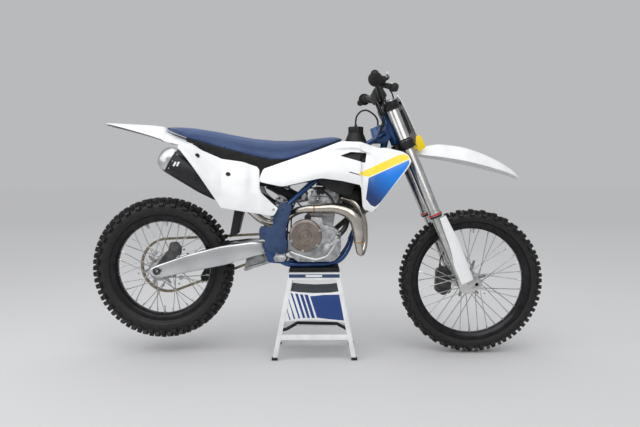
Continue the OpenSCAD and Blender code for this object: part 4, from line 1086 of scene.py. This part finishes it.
# exhaust can, shock, swingarm, chain
softened("silencer", "silencerCan", "blackMetal", 0.0015, smooth=50)
softened("silencer_cap", "silencerEnd", "brushed", 0.003, smooth=50)
canEnd = spot(-668, -118, 924)
outward = Vector((-252, 0, 152)).normalized()
tip = roundBar(canEnd + outward * 0.052, canEnd + outward * 0.0586, 0.018, 32, 0.001)
finished(tip, "silencerOutlet", "chassis", looks["blackMetal"])
marks = [plateFrom([(-655 + d, 902), (-647 + d, 898), (-636 + d, 917), (-644 + d, 921)], -163.5, -161.4, 0.0003)
         for d in (0, 15)]
grouped(marks, "silencerMark", "chassis", "white")
rivets = [boltHead(canEnd - outward * 0.012 + Vector((0, -0.0442 * math.cos(a), 0)) +
                   Vector((outward.z, 0, -outward.x)) * 0.0605 * math.sin(a), Vector((0, -1, 0)), 0.0035, 0.003)
          for a in (-0.55, 0.1, 0.75)]
grouped(rivets, "silencerRivets", "chassis", "steel")

shockTop, shockLow = spot(-138, 0, 838), spot(-262, 0, 452)
down = (shockLow - shockTop).normalized()
crosswise = Vector((0, 1, 0))
ahead = crosswise.cross(down)
coil = []
springSet = {"turns": 7.5, "wire": 0.0055, "radius": 0.0285, "start": 0.075, "length": 0.17, "perTurn": 16}
steps = springSet["turns"] * springSet["perTurn"]
for k in range(int(steps) + 1):
    a = 2 * math.pi * k / springSet["perTurn"]
    reach = springSet["start"] + springSet["length"] * k / steps
    coil.append(shockTop + down * reach + (crosswise * math.cos(a) + ahead * math.sin(a)) * springSet["radius"])
spring = barAlong(coil, springSet["wire"], 8, smooth=False)
finished(spring, "shockSpring", "chassis", looks["white"], smooth=60)
damper = [roundBar(shockTop + down * 0.006, shockTop + down * 0.05, 0.019, 24, 0.002),
          roundBar(shockTop + down * 0.036, shockTop + down * 0.074, 0.031, 32, 0.002),
          roundBar(shockTop + down * 0.05, shockTop + down * 0.26, 0.021, 24, 0.002),
          roundBar(shockTop + down * 0.246, shockTop + down * 0.256, 0.031, 32, 0.002),
          roundBar(shockTop + down * 0.256, shockLow - down * 0.02, 0.0085, 16, 0.0005),
          roundBar(shockLow - down * 0.03, shockLow - down * 0.004, 0.016, 20, 0.002),
          pin((-138, -17.5, 838), (-138, 17.5, 838), 0.0138, 24, 0.001),
          pin((-262, -14.5, 452), (-262, 14.5, 452), 0.0118, 24, 0.001)]
grouped(damper, "shockBody", "chassis", "steel",
         ["shock_absorber"])
softened("shock_linkage", "shockLinkage", "cast", 0.002)

armTurn = math.radians(10.56)


def armSpot(back, y, up):  # a place along the swingarm, back from its pivot
    return spot(-190 - back * math.cos(armTurn) - up * math.sin(armTurn), y,
                520 - back * math.sin(armTurn) + up * math.cos(armTurn))


blocks = []
for side in (-1, 1):
    blocks += [roundBar(armSpot(562, side * 127.2, 0), armSpot(562, side * 131, 0), 0.0205, 6, 0.001),
               roundBar(armSpot(600, side * 113, 1), armSpot(612, side * 113, 1), 0.0052, 6, 0.0006),
               roundBar(armSpot(592, side * 113, 1), armSpot(604, side * 113, 1), 0.003, 12, 0.0003)]
softened("swingarm", "swingarm", "brushed", 0.004, smooth=35)
grouped(blocks, "chainAdjusters", "chassis", "steel")
softened("rear_axle", "rearAxle", "darkSteel", 0.001)
softened("chain_guide", "chainGuide", "black", 0.003)
slider = [armSpot(b, 0, u) for b, u in ((84, 45), (150, 55), (250, 62), (330, 57), (330, 52), (250, 57), (150, 50),
                                        (84, 40))]
sliderOutline = [((p.x * 1000 + middleX), p.z * 1000) for p in slider]
guardStrip = plateFrom(sliderOutline, 70, 100, 0.001)
finished(guardStrip, "chainSlider", "chassis", looks["black"])

chainSet = {"pitch": 15.875, "teeth": 52, "drive": 13, "y": 78}
bigR = chainSet["pitch"] / (2 * math.sin(math.pi / chainSet["teeth"]))
smallR = chainSet["pitch"] / (2 * math.sin(math.pi / chainSet["drive"]))
driveAt, rearAt = Vector((-112, 0, 545)), Vector((-742.482, 0, 417.005))
span = rearAt - driveAt
lean = math.atan2(span.z, -span.x)
splay = math.asin((bigR - smallR) / span.length)
loop = []
for k in range(25):
    a = math.pi / 2 - splay - (math.pi - 2 * splay) * k / 24 - lean
    loop.append(driveAt + Vector((math.cos(a), 0, math.sin(a))) * smallR)
for k in range(97):
    a = -math.pi / 2 + splay - (math.pi + 2 * splay) * k / 96 - lean
    loop.append(rearAt + Vector((math.cos(a), 0, math.sin(a))) * bigR)
loop.append(loop[0])
lengths = [0.0]
for a, b in zip(loop, loop[1:]):
    lengths.append(lengths[-1] + (b - a).length)
linkCount = round(lengths[-1] / chainSet["pitch"] / 2) * 2
pitch = lengths[-1] / linkCount


def alongLoop(distance):
    distance %= lengths[-1]
    for i in range(len(lengths) - 1):
        if lengths[i + 1] >= distance:
            return loop[i].lerp(loop[i + 1], (distance - lengths[i]) / (lengths[i + 1] - lengths[i]))
    return loop[-1]


def linkPlate(y, wide, high):  # one figure-of-eight side plate, along x
    bpy.ops.mesh.primitive_cylinder_add(vertices=12, radius=0.007, depth=0.0019)
    sidePlate = bpy.context.object
    for vertex in sidePlate.data.vertices:
        x, z, deep = vertex.co.x, vertex.co.y, vertex.co.z
        reachX = x + math.copysign(wide / 2, x) if abs(x) > 0.001 else x
        vertex.co = Vector((reachX, y + deep, z * high * (0.78 if abs(x) < 0.001 else 1)))
    return sidePlate


def chainLink(outer):
    y = 0.0072 if outer else 0.0048
    half, radius, sides = (0.0088, 0.0024, 6) if outer else (0.0045, 0.0048, 8)
    parts = [linkPlate(y, 0.0159, 1), linkPlate(-y, 0.0159, 1)]
    for x in (-0.0079, 0.0079):
        parts.append(roundBar(Vector((x, -half, 0)), Vector((x, half, 0)), radius, sides))
    return joined(parts, "link")


links, kinds = [], (chainLink(True), chainLink(False))
for k in range(linkCount):
    a, b = alongLoop(k * pitch), alongLoop((k + 1) * pitch)
    middle, run = (a + b) / 2, b - a
    turn = Matrix.Rotation(-math.atan2(run.z, run.x), 4, "Y")
    links.append(copyOf(kinds[k % 2], Matrix.Translation(spot(middle.x, chainSet["y"], middle.z)) @ turn))
for kind in kinds:
    dropped(kind)
grouped(links, "chainLinks", "chassis", "chain", ["chain"])


def toothed(teeth, crest, root, steps=6):
    out = []
    for k in range(teeth * steps):
        share = (k % steps) / steps
        out.append((root if share < 0.34 or share > 0.9 else crest) / 1000)
    return out


sprocketOuter = toothed(chainSet["teeth"], bigR + 5.5, bigR - 5)
sprocket = holedPlate(sprocketOuter, [0.0625] * len(sprocketOuter), 0.078, 0.0058, rearAxle,
                      [(0.088, 12, 0.012, 15), (0.108, 24, 0.005, 0), (0.070, 6, 0.004, 0)], edge=0.0)
sprocketHub = holedPlate([0.0640] * 48, [0.0445] * 48, 0.078, 0.0058, rearAxle, [])
grouped([sprocket, sprocketHub], "rearSprocket", "rear_wheel", "steel", ["rear_sprocket"])
softened("rear_caliper", "rearCaliper", "darkCast", 0.002)
print("swingarm and chain made")

# seat
seatSet = {"voxel": 0.006, "pressure": 4.0, "cap": 0.006, "frames": 20}
seat = fromNode("seat", 0, flat=0)
modify(seat, "DISPLACE", strength=-0.003, mid_level=0)
modify(seat, "REMESH", mode="VOXEL", voxel_size=seatSet["voxel"])
before = [vertex.co.copy() for vertex in seat.data.vertices]
held = seat.vertex_groups.new(name="base")
held.add([vertex.index for vertex in seat.data.vertices if vertex.normal.z < -0.5], 1.0, "REPLACE")
pick(seat)
cloth = seat.modifiers.new("Cloth", "CLOTH")
cloth.settings.use_pressure = True
cloth.settings.uniform_pressure_force = seatSet["pressure"]
cloth.settings.effector_weights.gravity = 0
cloth.settings.vertex_group_mass = "base"
cloth.point_cache.frame_start = 1
cloth.point_cache.frame_end = seatSet["frames"]
for frameNumber in range(1, seatSet["frames"] + 1):
    bpy.context.scene.frame_set(frameNumber)
bpy.ops.object.modifier_apply(modifier="Cloth")
bpy.context.scene.frame_set(1)
for vertex, was in zip(seat.data.vertices, before):
    move = vertex.co - was
    if move.length > seatSet["cap"]:
        vertex.co = was + move.normalized() * seatSet["cap"]
for _ in range(2):
    editAll(seat)
    bpy.ops.mesh.vertices_smooth(factor=0.5, repeat=2)
    bpy.ops.object.mode_set(mode="OBJECT")
modify(seat, "SUBSURF", levels=1, render_levels=1)


def seatLook():
    made, tree, shader, coords = newLook("gripperCover")
    cloud = grainOf(tree, coords, 10, 5)
    fine = grainOf(tree, coords, 1800, 3)
    cells = tree.nodes.new("ShaderNodeTexVoronoi")
    cells.inputs["Scale"].default_value = 420
    tree.links.new(coords.outputs["Object"], cells.inputs["Vector"])
    parts = tree.nodes.new("ShaderNodeSeparateXYZ")
    tree.links.new(coords.outputs["Object"], parts.inputs["Vector"])
    tree.links.new(twoTone(tree, cloud.outputs["Fac"], (0.020, 0.050, 0.145), (0.030, 0.070, 0.190)),
                   shader.inputs["Base Color"])
    tree.links.new(ranged(tree, fine.outputs["Fac"], 0.5, 0.66), shader.inputs["Roughness"])
    shader.inputs["Sheen Weight"].default_value = 0.25
    bumped(tree, shader, cells.outputs["Distance"], 0.35, 0.0006)
    return made


finished(seat, "seatCover", "chassis", seatLook(), ["seat"], smooth=0)
seat.data.shade_smooth()
seatLine = [(-700, 58, 1076, 1083), (-640, 80, 1056, 1062), (-560, 88, 1024, 1047), (-481, 89.5, 1000, 1034),
            (-401, 89.5, 979, 1017), (-301, 87.5, 951, 996), (-201, 85.5, 936, 987), (-120, 81, 938, 990),
            (-40, 73, 966, 1003), (40, 62, 996, 1018)]
seams = []
for side in (-1, 1):
    seams.append(barAlong([spot(x, side * (y + 1.2), high) for x, y, low, high in seatLine], 0.0013, 8))
grouped(seams, "seatSeams", "chassis", "guard")
skirtLine = [(-612, 76, 990, 1036), (-560, 80, 940, 1018), (-480, 80, 900, 996), (-401, 80, 880, 976),
             (-301, 78, 846, 950), (-236, 77, 836, 934), (-170, 76, 850, 934), (-120, 70, 880, 938)]
rows = []
for s in reversed(easedStations(skirtLine, 12)):
    rows.append([spot(s[0], -s[1] + 5 * math.sin(math.pi * k / 8), blended(s[2], s[3], k / 8)) for k in range(9)])
skirt = gridPiece(rows)
thickened(skirt, 0.003, 0.0006)
boot = barAlong([spot(-236, 0, 826), spot(-190, 0, 806), spot(-140, -4, 770), spot(-100, -8, 753)],
                [0.030, 0.034, 0.032, 0.029], 28)
grouped([skirt, mirrorAcross(skirt), boot], "airboxSides", "chassis", "black", smooth=40)
print("seat made")

# tank, radiators, pegs
softened("fuel_tank", "fuelTank", "black", 0.004, smooth=45)
bpy.ops.mesh.primitive_cylinder_add(vertices=48, radius=0.0365, depth=0.030)
cap = bpy.context.object
for vertex in cap.data.vertices:
    a = math.atan2(vertex.co.y, vertex.co.x)
    k = round(a / (2 * math.pi) * 48)
    grow = 0.93 if k % 4 in (0, 1) else 1.0
    vertex.co.x *= grow
    vertex.co.y *= grow
softenEdges(cap, 0.002)
placeMesh(cap, Matrix.Translation(spot(186, 0, 1077)))
bpy.ops.mesh.primitive_cone_add(vertices=48, radius1=0.054, radius2=0.036, depth=0.046)
neck = bpy.context.object
softenEdges(neck, 0.004, 3)
placeMesh(neck, Matrix.Translation(spot(186, 0, 1041)))
vent = barAlong([spot(*p) for p in ((186, 0, 1096), (186, 0, 1124), (196, 0, 1152), (228, 0, 1172), (264, 0, 1158),
                                    (289, 0, 1128), (292, 0, 1099))], 0.0042, 12)
nipple = pin((186, 0, 1090), (186, 0, 1104), 0.0068, 16, 0.001)
grouped([cap, neck, vent, nipple], "tankCap", "chassis", "black",
         ["tank_cap"], smooth=35)
louvreSet = {"x": 268.5, "inner": 37, "outer": 123, "count": 13, "low": 702, "pitch": 14.2, "ends": (696, 884)}
slats = []
for side in (-1, 1):
    x, inner, outer = louvreSet["x"], louvreSet["inner"], louvreSet["outer"]
    for k in range(louvreSet["count"]):
        z = louvreSet["low"] + louvreSet["pitch"] * k
        slats.append(pin((x, side * inner, z), (x, side * outer, z), 0.0026, 8))
    for y in (inner - 1, outer + 1):
        slats.append(pin((x, side * y, louvreSet["ends"][0]), (x, side * y, louvreSet["ends"][1]), 0.0036, 8))
softened("radiators", "radiatorCores", "radiator", 0.003)
grouped(slats, "radiatorLouvres", "chassis", "black")
pegSet = {"rows": (-186, -150), "inner": 142, "pitch": 10.5, "count": 6, "tip": 196, "low": 495, "high": 501}


def pegTooth(x, y, radius):
    return pin((x, y, pegSet["low"]), (x, y, pegSet["high"]), radius, 5)


teeth = []
for side in (-1, 1):
    for x in pegSet["rows"]:
        for k in range(pegSet["count"]):
            teeth.append(pegTooth(x, side * (pegSet["inner"] + pegSet["pitch"] * k), 0.0032))
    for k in range(4):
        teeth.append(pegTooth(-174 + 5 * k, side * pegSet["tip"], 0.0028))
softened("footpegs", "footpegs", "cast", 0.002, teeth)
softened("brake_pedal", "brakePedal", "brushed", 0.0012)
softened("shift_lever", "shiftLever", "darkSteel", 0.001)
print("tank, radiators and pegs made")

# steering
softened("lower_triple_clamp", "lowerClamp", "blackMetal", 0.002)
softened("upper_triple_clamp", "upperClamp", "blackMetal", 0.002)
forkAt = {"ahead": 22, "y": 106}  # the fork legs, beside the steering axis


def forkBand(side, low, high, radius, sides, edge):
    ahead, y = forkAt["ahead"], side * forkAt["y"]
    return roundBar(steerSpot(ahead, y, low), steerSpot(ahead, y, high), radius, sides, edge)


clampBolts, rings, caps, collars = [], [], [], []
for side in (-1, 1):
    for up in (344, 368, 538, 558):
        clampBolts.append(boltHead(steerSpot(-14, side * (forkAt["y"] - 26), up), -steerAhead, 0.005, 0.004))
    rings.append(forkBand(side, 2, 9, 0.0326, 40, 0.0012))
    collars.append(forkBand(side, -9, 2, 0.0295, 40, 0.0015))
    collars.append(forkBand(side, 376, 384, 0.0292, 40, 0.001))
    caps.append(forkBand(side, 571, 577, 0.0225, 8, 0.0012))
    caps.append(forkBand(side, 577, 582, 0.009, 16, 0.001))
grouped(clampBolts, "clampBolts", "steering", "steel")
grouped(rings, "sealRings", "steering", "red")
grouped(collars, "forkCollars", "steering", "black")
grouped(caps, "forkCaps", "steering", "brushed")
softened("fork_tubes", "forkTubes", "forkSilver", 0.001)
softened("fork_legs", "forkLegs", "forkSilver", 0.002)
softened("front_axle", "frontAxle", "steel", 0.001)
softened("front_caliper", "frontCaliper", "darkCast", 0.003)
softened("front_brake_hose", "frontHose", "hose", 0, smooth=60)
softened("handlebar", "handlebar", "blackMetal", 0.001, smooth=60)
rows = [[steerSpot(78 - 12 * (y / 90) ** 2, y, up) for y in range(-58, 59, 8)] for up in range(400, 521, 12)]
plateBack = [thickened(gridPiece(rows), 0.004, 0.001)]
grouped(plateBack, "plateBacking", "steering", "black")

gripSet = {"firstRib": 8, "lastRib": 112, "pitch": 4.4, "controls": 133}  # along the bar from its end
barEnd, barIn = Vector((236, 405, 1266)), Vector((258, 220, 1268))
barWay = (barEnd - barIn).normalized()


def alongBar(inwards, side, x=0, y=0, z=0):  # measured inwards from the bar's end
    p = barEnd - barWay * inwards + Vector((x, y, z))
    return spot(p.x, side * p.y, p.z)


def ribbedGrip(side):
    profile = [(12.0, 2), (16.5, 2), (17.2, 4)]
    k = gripSet["firstRib"]
    while k < gripSet["lastRib"]:
        profile += [(15.6, k), (15.6, k + 1.6), (14.4, k + 2.2), (14.4, k + 3.6)]
        k += gripSet["pitch"]
    profile += [(15.6, 113), (22, 115), (30.5, 118), (31, 120), (30.5, 121.8), (12, 121.8)]
    grip = turnedRing([(r / 1000, y / 1000) for r, y in profile], 32, Vector((0, 0, 0)))
    turn = (-Vector((barWay.x, side * barWay.y, barWay.z))).to_track_quat("Y", "Z").to_matrix().to_4x4()
    placeMesh(grip, Matrix.Translation(alongBar(0, side)) @ turn)
    end = roundBar(alongBar(3, side), alongBar(0.6, side), 0.0155, 24, 0.001)
    return [grip, end]


grips = ribbedGrip(-1) + ribbedGrip(1)
grouped(grips, "ribbedGrips", "steering", "softRubber", ["grips"],
         smooth=30)
housing = []
for side in (-1, 1):
    control = barEnd - barWay * gripSet["controls"]
    at = spot(control.x, side * control.y, control.z)
    out = Vector((barWay.x, side * barWay.y, barWay.z))
    size = 0.0304 if side < 0 else 0.018
    housing.append(roundBar(at - out * 0.0095, at + out * 0.0095, size, 32, 0.003))
    housing.append(roundBar(at - out * 0.042, at - out * 0.014, 0.0165, 24, 0.002))
    perch = [(control.x - 4, control.z - 13), (control.x + 44, control.z - 15), (control.x + 50, control.z + 2),
             (control.x + 44, control.z + 15), (control.x - 4, control.z + 15)]
    y0, y1 = side * (control.y - 34), side * (control.y + 8)
    housing.append(plateFrom(perch, min(y0, y1), max(y0, y1), 0.004, 3))
reservoir = [pin((338, -214, 1240), (338, -262, 1240), 0.0165, 24, 0.003),
             plateFrom([(262, 1248), (300, 1258), (330, 1254), (346, 1240), (338, 1226), (300, 1236), (262, 1244)],
                       -250, -232, 0.004, 3),
             plateFrom([(318, 1222), (352, 1222), (358, 1246), (324, 1252)], -256, -222, 0.005, 3)]
housing += reservoir
housing.append(plateFrom([(262, 1248), (300, 1258), (322, 1250), (322, 1238), (300, 1238), (262, 1244)], 226, 250,
                         0.004, 3))
grouped(housing, "controlHousings", "steering", "black", ["hand_controls"])
levers = []
for side in (-1, 1):
    control = barEnd - barWay * gripSet["controls"]
    line = [(40, -20, 2), (52, -2, 4), (54, 24, 5), (46, 60, 6), (40, 92, 6), (38, 112, 6)]
    levers.append(barAlong([spot(control.x + x, side * (control.y + y), control.z + z) for x, y, z in line],
                           [0.007, 0.0066, 0.0058, 0.0052, 0.0052, 0.0065], 12))
    levers.append(roundBar(spot(control.x + 36, side * (control.y - 14), control.z + 14),
                           spot(control.x + 36, side * (control.y - 14), control.z + 18), 0.0052, 12, 0.001))
lid = roundBar(spot(control.x + 22, -(control.y - 14), control.z + 14), spot(control.x + 22, -(control.y - 14),
                                                                            control.z + 19), 0.013, 24, 0.001)
button = roundBar(spot(control.x, -(control.y + 9), control.z), spot(control.x, -(control.y + 11.5), control.z),
                  0.011, 24, 0.001)
reservoirLid = plateFrom([(320, 1252), (357, 1247), (358, 1252), (321, 1257)], -254, -224, 0.0012)
grouped(levers + [lid, button, reservoirLid], "leversAndLids", "steering", "brushed")
bpy.ops.mesh.primitive_cube_add(size=1)
pad = bpy.context.object
for vertex in pad.data.vertices:
    top = vertex.co.z > 0
    vertex.co = Vector((vertex.co.x * (0.040 if top else 0.058), vertex.co.y * (0.170 if top else 0.196),
                        vertex.co.z * 0.062))
modify(pad, "BEVEL", width=0.014, segments=4)
placeMesh(pad, Matrix.Translation(spot(291, 0, 1243)) @ Matrix.Rotation(math.radians(-22), 4, "Y"))
finished(pad, "barPad", "steering", looks["softRubber"], smooth=60)
cables = []
for line in (
        [(270, -250, 1262), (292, -200, 1240), (316, -120, 1180), (318, -60, 1120), (300, -30, 1060), (282, -26, 1030)],
        [(268, -254, 1256), (288, -206, 1226), (306, -128, 1164), (306, -66, 1104), (290, -36, 1050), (276, -32, 1026)],
        [(276, 248, 1256), (316, 170, 1230), (352, 80, 1180), (340, 34, 1120), (306, 30, 1064), (286, 30, 1034)]):
    cables.append(barAlong([spot(*p) for p in line], 0.0032, 10))
grouped(cables, "controlCables", "steering", "hose", smooth=60)
print("steering made")

# stand
softened("stand_frame", "standFrame", "stand", 0.002)
softened("stand_pad", "standPad", "softRubber", 0.006)


panelSet = {  # outlines in drawing millimetres
    "edge": [(-172, 175), (-110, 183), (-33, 188.5), (60, 182), (129.7, 171.6), (107, 319), (60, 312.5), (-16, 310.5),
             (-80, 314), (-133, 320.6)],
    "stripes": [
        [(-129.5, 185.5), (-124.5, 189), (-144.7, 249.5), (-147.5, 251)],
        [(-110, 190.5), (-102.5, 192.5), (-135.5, 292), (-139.5, 299.5)],
        [(-87, 192.8), (-79.8, 195.5), (-116, 310.5), (-125, 312)],
        [(-66.8, 194.8), (-56, 197), (-90.5, 308), (-103.5, 309.8)],
        [(-45.9, 195.5), (-34.5, 197), (-66.8, 304.5), (-82, 306.5)],
        [(-25.5, 195.5), (-10.9, 196), (-43.8, 303), (-60.7, 304.8)],
        [(-1, 194.7), (52, 190), (124.5, 180), (102, 310), (33, 303), (-36.3, 302)]],
}


def standLook():
    made, tree, shader, coords = newLook("standGraphics")
    parts = tree.nodes.new("ShaderNodeSeparateXYZ")
    tree.links.new(coords.outputs["Object"], parts.inputs["Vector"])
    fine = grainOf(tree, coords, 900, 4)
    colour = twoTone(tree, grainOf(tree, coords, 30).outputs["Fac"], (0.76, 0.77, 0.78), (0.84, 0.85, 0.86))
    for outline in panelSet["stripes"]:
        mask = insideOutline(tree, parts.outputs["X"], parts.outputs["Z"], outline)
        colour = painted(tree, colour, mask, (0.008, 0.045, 0.20))
    tree.links.new(colour, shader.inputs["Base Color"])
    tree.links.new(ranged(tree, fine.outputs["Fac"], 0.32, 0.45), shader.inputs["Roughness"])
    bumped(tree, shader, fine.outputs["Fac"], 0.04)
    return made


sideLean = math.atan((292 - 240) / 2 / (405 - 26))
panel = plateFrom(panelSet["edge"], 12, 15, 0.0006)
placeMesh(panel, Matrix.Translation((0, 0.128, 0)) @ Matrix.Rotation(sideLean, 4, "X"))
panels = joined([panel, mirrorAcross(panel)], "standPanels")
finished(panels, "standPanels", "chassis", standLook(), ["stand_panels"])
# the inward faces of the stand panels get the dark slate: painted shade inside the stand
panels.data.materials.append(looks["standInnerShade"])
for face in panels.data.polygons:
    if face.normal.y * face.center.y < 0 and abs(face.normal.y) > 0.5:
        face.material_index = 1


strips, whites, feet = [], [], []
for side in (-1, 1):
    y0, y1 = (side * 120, side * 121.4)
    strips.append(plateFrom([(-132, 383), (104, 383), (104, 399), (-132, 399)], min(y0, y1), max(y0, y1), 0.0003))
    y0, y1 = (side * 121.2, side * 121.9)
    whites.append(plateFrom([(-54, 386), (22, 386), (22, 396), (-54, 396)], min(y0, y1), max(y0, y1), 0.0002))
grouped(strips, "standStrips", "chassis", "guard")
grouped(whites, "standLabels", "chassis", "white")
footSet = {"x": (-199, 171), "y": 137, "half": (14, 10.5), "topHalf": 13.2, "low": 0.4, "high": 14}
for x in footSet["x"]:
    for side in (-1, 1):
        long, wide = footSet["half"]
        outline = [(x - long, footSet["low"]), (x + long, footSet["low"]), (x + footSet["topHalf"], footSet["high"]),
                   (x - footSet["topHalf"], footSet["high"])]
        y = side * footSet["y"]
        feet.append(plateFrom(outline, y - wide, y + wide, 0.002))
grouped(feet, "standFeet", "chassis", "softRubber")
bow = barAlong([spot(*p) for p in ((-176, 0, 106), (-150, 0, 112), (-97, 0, 142), (95, 0, 138), (136, 0, 116),
                                   (152, 0, 106))], 0.0082, 16, smooth=False)
finished(bow, "standBow", "chassis", looks["blackMetal"], smooth=60)
print("stand made")


# finishes for the nodes that stay
nodeLooks = {
    "frame": "blueFrame", "subframe": "blackMetal", "airbox": "black", "frame_guards": "guard", "engine": "cast",
    "engine_covers": "bronze", "exhaust_header": "titanium", "silencer": "blackMetal", "silencer_cap": "brushed",
    "shock_absorber": "steel", "shock_linkage": "cast", "swingarm": "brushed", "rear_axle": "steel",
    "chain": "chain", "chain_guide": "black", "rear_caliper": "darkCast", "radiators": "radiator",
    "fuel_tank": "black", "tank_cap": "black", "seat": "guard", "rear_fender": "white", "side_panels": "white",
    "shrouds": "shroud", "footpegs": "cast", "brake_pedal": "brushed", "shift_lever": "darkSteel",
    "mud_flap": "black", "stand_frame": "stand", "stand_panels": "guard", "stand_pad": "softRubber",
    "lower_triple_clamp": "blackMetal", "upper_triple_clamp": "blackMetal", "fork_tubes": "forkSilver",
    "fork_legs": "forkSilver", "fork_guards": "white", "handlebar": "blackMetal", "grips": "softRubber",
    "hand_controls": "darkCast", "front_fender": "white", "number_plate": "white", "front_caliper": "darkCast",
    "front_brake_hose": "hose", "front_axle": "steel", "front_tyre": "rubber", "front_rim": "rimBlack",
    "front_hub": "steel", "front_disc": "steel", "rear_tyre": "rubber", "rear_rim": "rimBlack",
    "rear_hub": "steel", "rear_sprocket": "steel", "rear_disc": "steel",
}
for node, finish in nodeLooks.items():
    carried = frame["nodes"][node]
    if not carried.material_slots:
        carried.data.materials.append(looks[finish])
    for place in carried.material_slots:
        place.material = looks[finish]
print("finishes set")

letGo()
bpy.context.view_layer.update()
